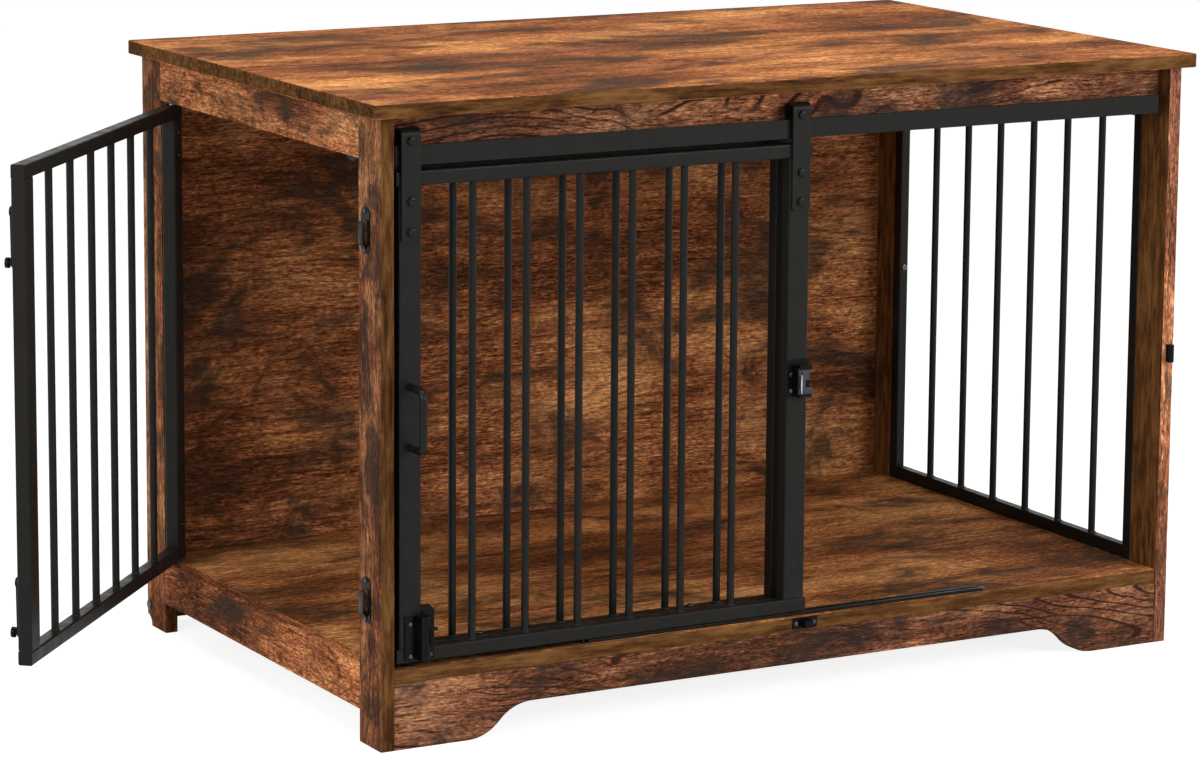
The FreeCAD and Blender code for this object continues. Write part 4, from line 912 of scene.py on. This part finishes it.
# six-sided heads of the strap bolts and the roller axles, in metres; flat is the distance from
# the centre to a flat side, and the shares are of it
headShape = {
    "flat": 0.0041,
    "reach": 0.0045,
    "height": 0.0030,
    "seatShare": 0.96,
    "seatRim": 0.0003,
    "chamfer": 0.0007,
    "chamferShare": 0.90,
    "chamferRise": 0.35,
    "crownShare": 0.70,
    "innerShare": 0.4,
    "sides": 24,
    "smooth": 25,
    "shank": 0.0024,
    "shankTop": 0.0004,
    "shankSides": 16,
    "strapShank": 0.0120,
    "axleShank": 0.0180,
}


def sixSided(angle):
    # the distance of a hexagon's edge, with its flats one unit from the centre
    sector = math.pi / 3
    return 1.0 / np.cos(np.mod(angle, sector) - sector / 2)


def boltSurface(centre, depth):
    # a chamfered head on its seat, and the shank into the work
    s = headShape
    flat, height, chamfer = s["flat"], s["height"], s["chamfer"]
    profile = [(0, 0), (flat * s["seatShare"], 0), (flat, s["seatRim"]), (flat, height - chamfer),
               (flat * s["chamferShare"], height - chamfer * s["chamferRise"]),
               (flat * s["crownShare"], height), (flat * s["innerShare"], height), (0, height)]
    head = turned(profile, centre, (0, -1, 0), s["sides"], sixSided)
    stem = turned([(0, -depth), (s["shank"], -depth), (s["shank"], s["shankTop"]),
                   (0, s["shankTop"])], centre, (0, -1, 0), s["shankSides"])
    return [head, stem]


def makeHeads():
    # reach is the radius of the CAD head, which sets the centres inside the node's box
    s = headShape
    reach = s["reach"]
    for node, name, depth in (("strap_bolts", "strapBolts", s["strapShank"]),
                              ("roller_axles", "rollerAxles", s["axleShank"])):
        low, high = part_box(node)
        seat = low[1] + s["height"]
        rows = sorted({round(low[2] + reach, 5), round(high[2] - reach, 5)})
        parts = []
        for x in (low[0] + reach, high[0] - reach):
            for z in rows:
                parts += boltSurface((x, seat, z), depth)
        makePiece(name, joined(parts), metals["boltSteel"], "sliding_door", (node,),
                  smooth=s["smooth"])


makeHeads()

# the latch's finger strip, in metres; its bright plated metal is partly a painted highlight,
# standing for the glint on the tab's curled edge
thumbShape = {
    "inset": 0.0012,
    "height": 0.0235,
    "bow": 0.0013,
    "halfWidth": 0.0007,
    "flare": 0.0007,
    "thick": 0.0006,
    "shoulder": 0.35,
    "faceShare": 0.6,
    "points": 25,
    "smooth": 50,
}


def makeThumb():
    # a bowed strip in front of the finger tab: x = -bow sin(pi t), and its half width grows by
    # flare t^4 toward the lower end, as t goes from 0 at the top to 1
    s = thumbShape
    low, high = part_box("latch_slide")
    top = (low[2] + high[2]) / 2 + s["height"] / 2
    t = np.linspace(0, 1, s["points"])
    middle = low[0] + s["inset"] - s["bow"] * np.sin(math.pi * t)
    half = s["halfWidth"] + s["flare"] * t ** 4
    z = top - s["height"] * t
    front = np.full_like(t, low[1])
    shoulder, back = front + s["thick"] * s["shoulder"], front + s["thick"]
    face = half * s["faceShare"]
    ring = [(middle - half, shoulder), (middle - face, front), (middle + face, front),
            (middle + half, shoulder), (middle + half, back), (middle - half, back)]
    points = np.stack([np.stack([x, y, z], 1) for x, y in ring], 1).reshape(-1, 3)
    count, sides = len(t), len(ring)
    faces = gridFaces(count, sides)
    faces.append(list(range(sides))[::-1])
    faces.append(list(range((count - 1) * sides, count * sides)))
    # the bright plated metal stands partly for the glint on the tab's edge: painted highlight
    makePiece("latchThumb", (points, faces), metals["brightPin"], "latch",
              smooth=s["smooth"])


makeThumb()
print("hardware made")

# a pale floor that the camera sees white, and the world's own light
stage = {
    "floorHalf": 30.0,
    "floorColour": (0.80, 0.80, 0.80),
    "floorSeen": (0.42, 0.42, 0.42),
    "floorGlow": 0.86,
    "ambient": 0.30,
}


def seenMask(tree):
    # 1 for rays from the camera, from gloss and through clear surfaces
    path = addNode(tree, "ShaderNodeLightPath")
    both = mathNode(tree, "MAXIMUM", path.outputs["Is Camera Ray"], path.outputs["Is Glossy Ray"])
    return mathNode(tree, "MAXIMUM", both, path.outputs["Is Transmission Ray"])


def makeFloor():
    half = stage["floorHalf"]
    mesh = bpy.data.meshes.new("floor")
    corners = [(-half, -half, 0), (half, -half, 0), (half, half, 0), (-half, half, 0)]
    mesh.from_pydata(corners, [], [(0, 1, 2, 3)])
    floor = bpy.data.objects.new("floor", mesh)
    bpy.context.scene.collection.objects.link(floor)
    mat = newMaterial("paleFloor")
    tree = mat.node_tree
    out = addNode(tree, "ShaderNodeOutputMaterial")
    lit = addNode(tree, "ShaderNodeBsdfDiffuse")
    setInputs(lit, {"Color": (*stage["floorColour"], 1)})
    dim = addNode(tree, "ShaderNodeBsdfDiffuse")
    setInputs(dim, {"Color": (*stage["floorSeen"], 1)})
    glow = addNode(tree, "ShaderNodeEmission")
    setInputs(glow, {"Strength": stage["floorGlow"]})
    seen = addNode(tree, "ShaderNodeAddShader")
    pick = addNode(tree, "ShaderNodeMixShader")
    wire(tree, (dim.outputs[0], seen.inputs[0]), (glow.outputs[0], seen.inputs[1]),
         (seenMask(tree), pick.inputs[0]), (lit.outputs[0], pick.inputs[1]),
         (seen.outputs[0], pick.inputs[2]), (pick.outputs[0], out.inputs["Surface"]))
    mesh.materials.append(mat)


def makeWorld():
    world = bpy.data.worlds.new("studio")
    bpy.context.scene.world = world
    world.use_nodes = True
    tree = world.node_tree
    tree.nodes.clear()
    out = addNode(tree, "ShaderNodeOutputWorld")
    light = addNode(tree, "ShaderNodeBackground")
    setInputs(light, {"Color": (1, 1, 1, 1), "Strength": stage["ambient"]})
    white = addNode(tree, "ShaderNodeBackground")
    setInputs(white, {"Color": (1, 1, 1, 1), "Strength": 1.0})
    pick = addNode(tree, "ShaderNodeMixShader")
    wire(tree, (seenMask(tree), pick.inputs[0]), (light.outputs[0], pick.inputs[1]),
         (white.outputs[0], pick.inputs[2]), (pick.outputs[0], out.inputs["Surface"]))


def makeLamp(name, place, target, width, height, power):
    data = bpy.data.lights.new(name, "AREA")
    data.shape = "RECTANGLE"
    data.size = width
    data.size_y = height
    data.energy = power
    lamp = bpy.data.objects.new(name, data)
    bpy.context.scene.collection.objects.link(lamp)
    lamp.location = place
    lamp.rotation_euler = (Vector(target) - Vector(place)).to_track_quat("-Z", "Y").to_euler()


# place, target, width, height in metres and power in watts of each lamp
lamps = {
    "top": ((-0.3, -0.7, 3.3), (0.0, 0.0, 0.6), 2.6, 2.0, 46),
    "front": ((2.0, -3.7, 1.9), (0.0, 0.0, 0.3), 1.8, 1.8, 84),
    "left": ((-3.6, -1.4, 1.7), (0.0, 0.0, 0.3), 1.8, 1.8, 52),
}

# the camera fitted to the photo: degrees, metres, and millimetres for the lens and the sensor
cameraFit = {
    "azimuth": 29.171,
    "pitch": -9.836,
    "roll": 0.433,
    "place": (-2.338918, -4.059875, 1.206354),
    "lens": 128.614,
    "shiftY": -0.08,
    "sensor": 36.0,
    "clipEnd": 100,
}


def makeCamera():
    data = bpy.data.cameras.new("camera")
    data.sensor_fit = "HORIZONTAL"
    data.sensor_width = cameraFit["sensor"]
    data.lens = cameraFit["lens"]
    data.shift_y = cameraFit["shiftY"]
    data.clip_end = cameraFit["clipEnd"]
    camera = bpy.data.objects.new("camera", data)
    bpy.context.scene.collection.objects.link(camera)
    az, pitch, roll = (math.radians(cameraFit[key]) for key in ("azimuth", "pitch", "roll"))
    level = math.cos(pitch)
    forward = Vector((math.sin(az) * level, math.cos(az) * level, math.sin(pitch)))
    right = Vector((math.cos(az), -math.sin(az), 0))
    up = right.cross(forward)
    rolledRight = math.cos(roll) * right + math.sin(roll) * up
    rolledUp = -math.sin(roll) * right + math.cos(roll) * up
    turn = Matrix((rolledRight, rolledUp, -forward)).transposed().to_4x4()
    camera.matrix_world = Matrix.Translation(Vector(cameraFit["place"])) @ turn
    bpy.context.scene.camera = camera


makeFloor()
makeWorld()
for lampName, lampSetting in lamps.items():
    makeLamp(lampName, *lampSetting)
makeCamera()
bpy.context.scene.view_settings.view_transform = "Standard"
print("stage ready")
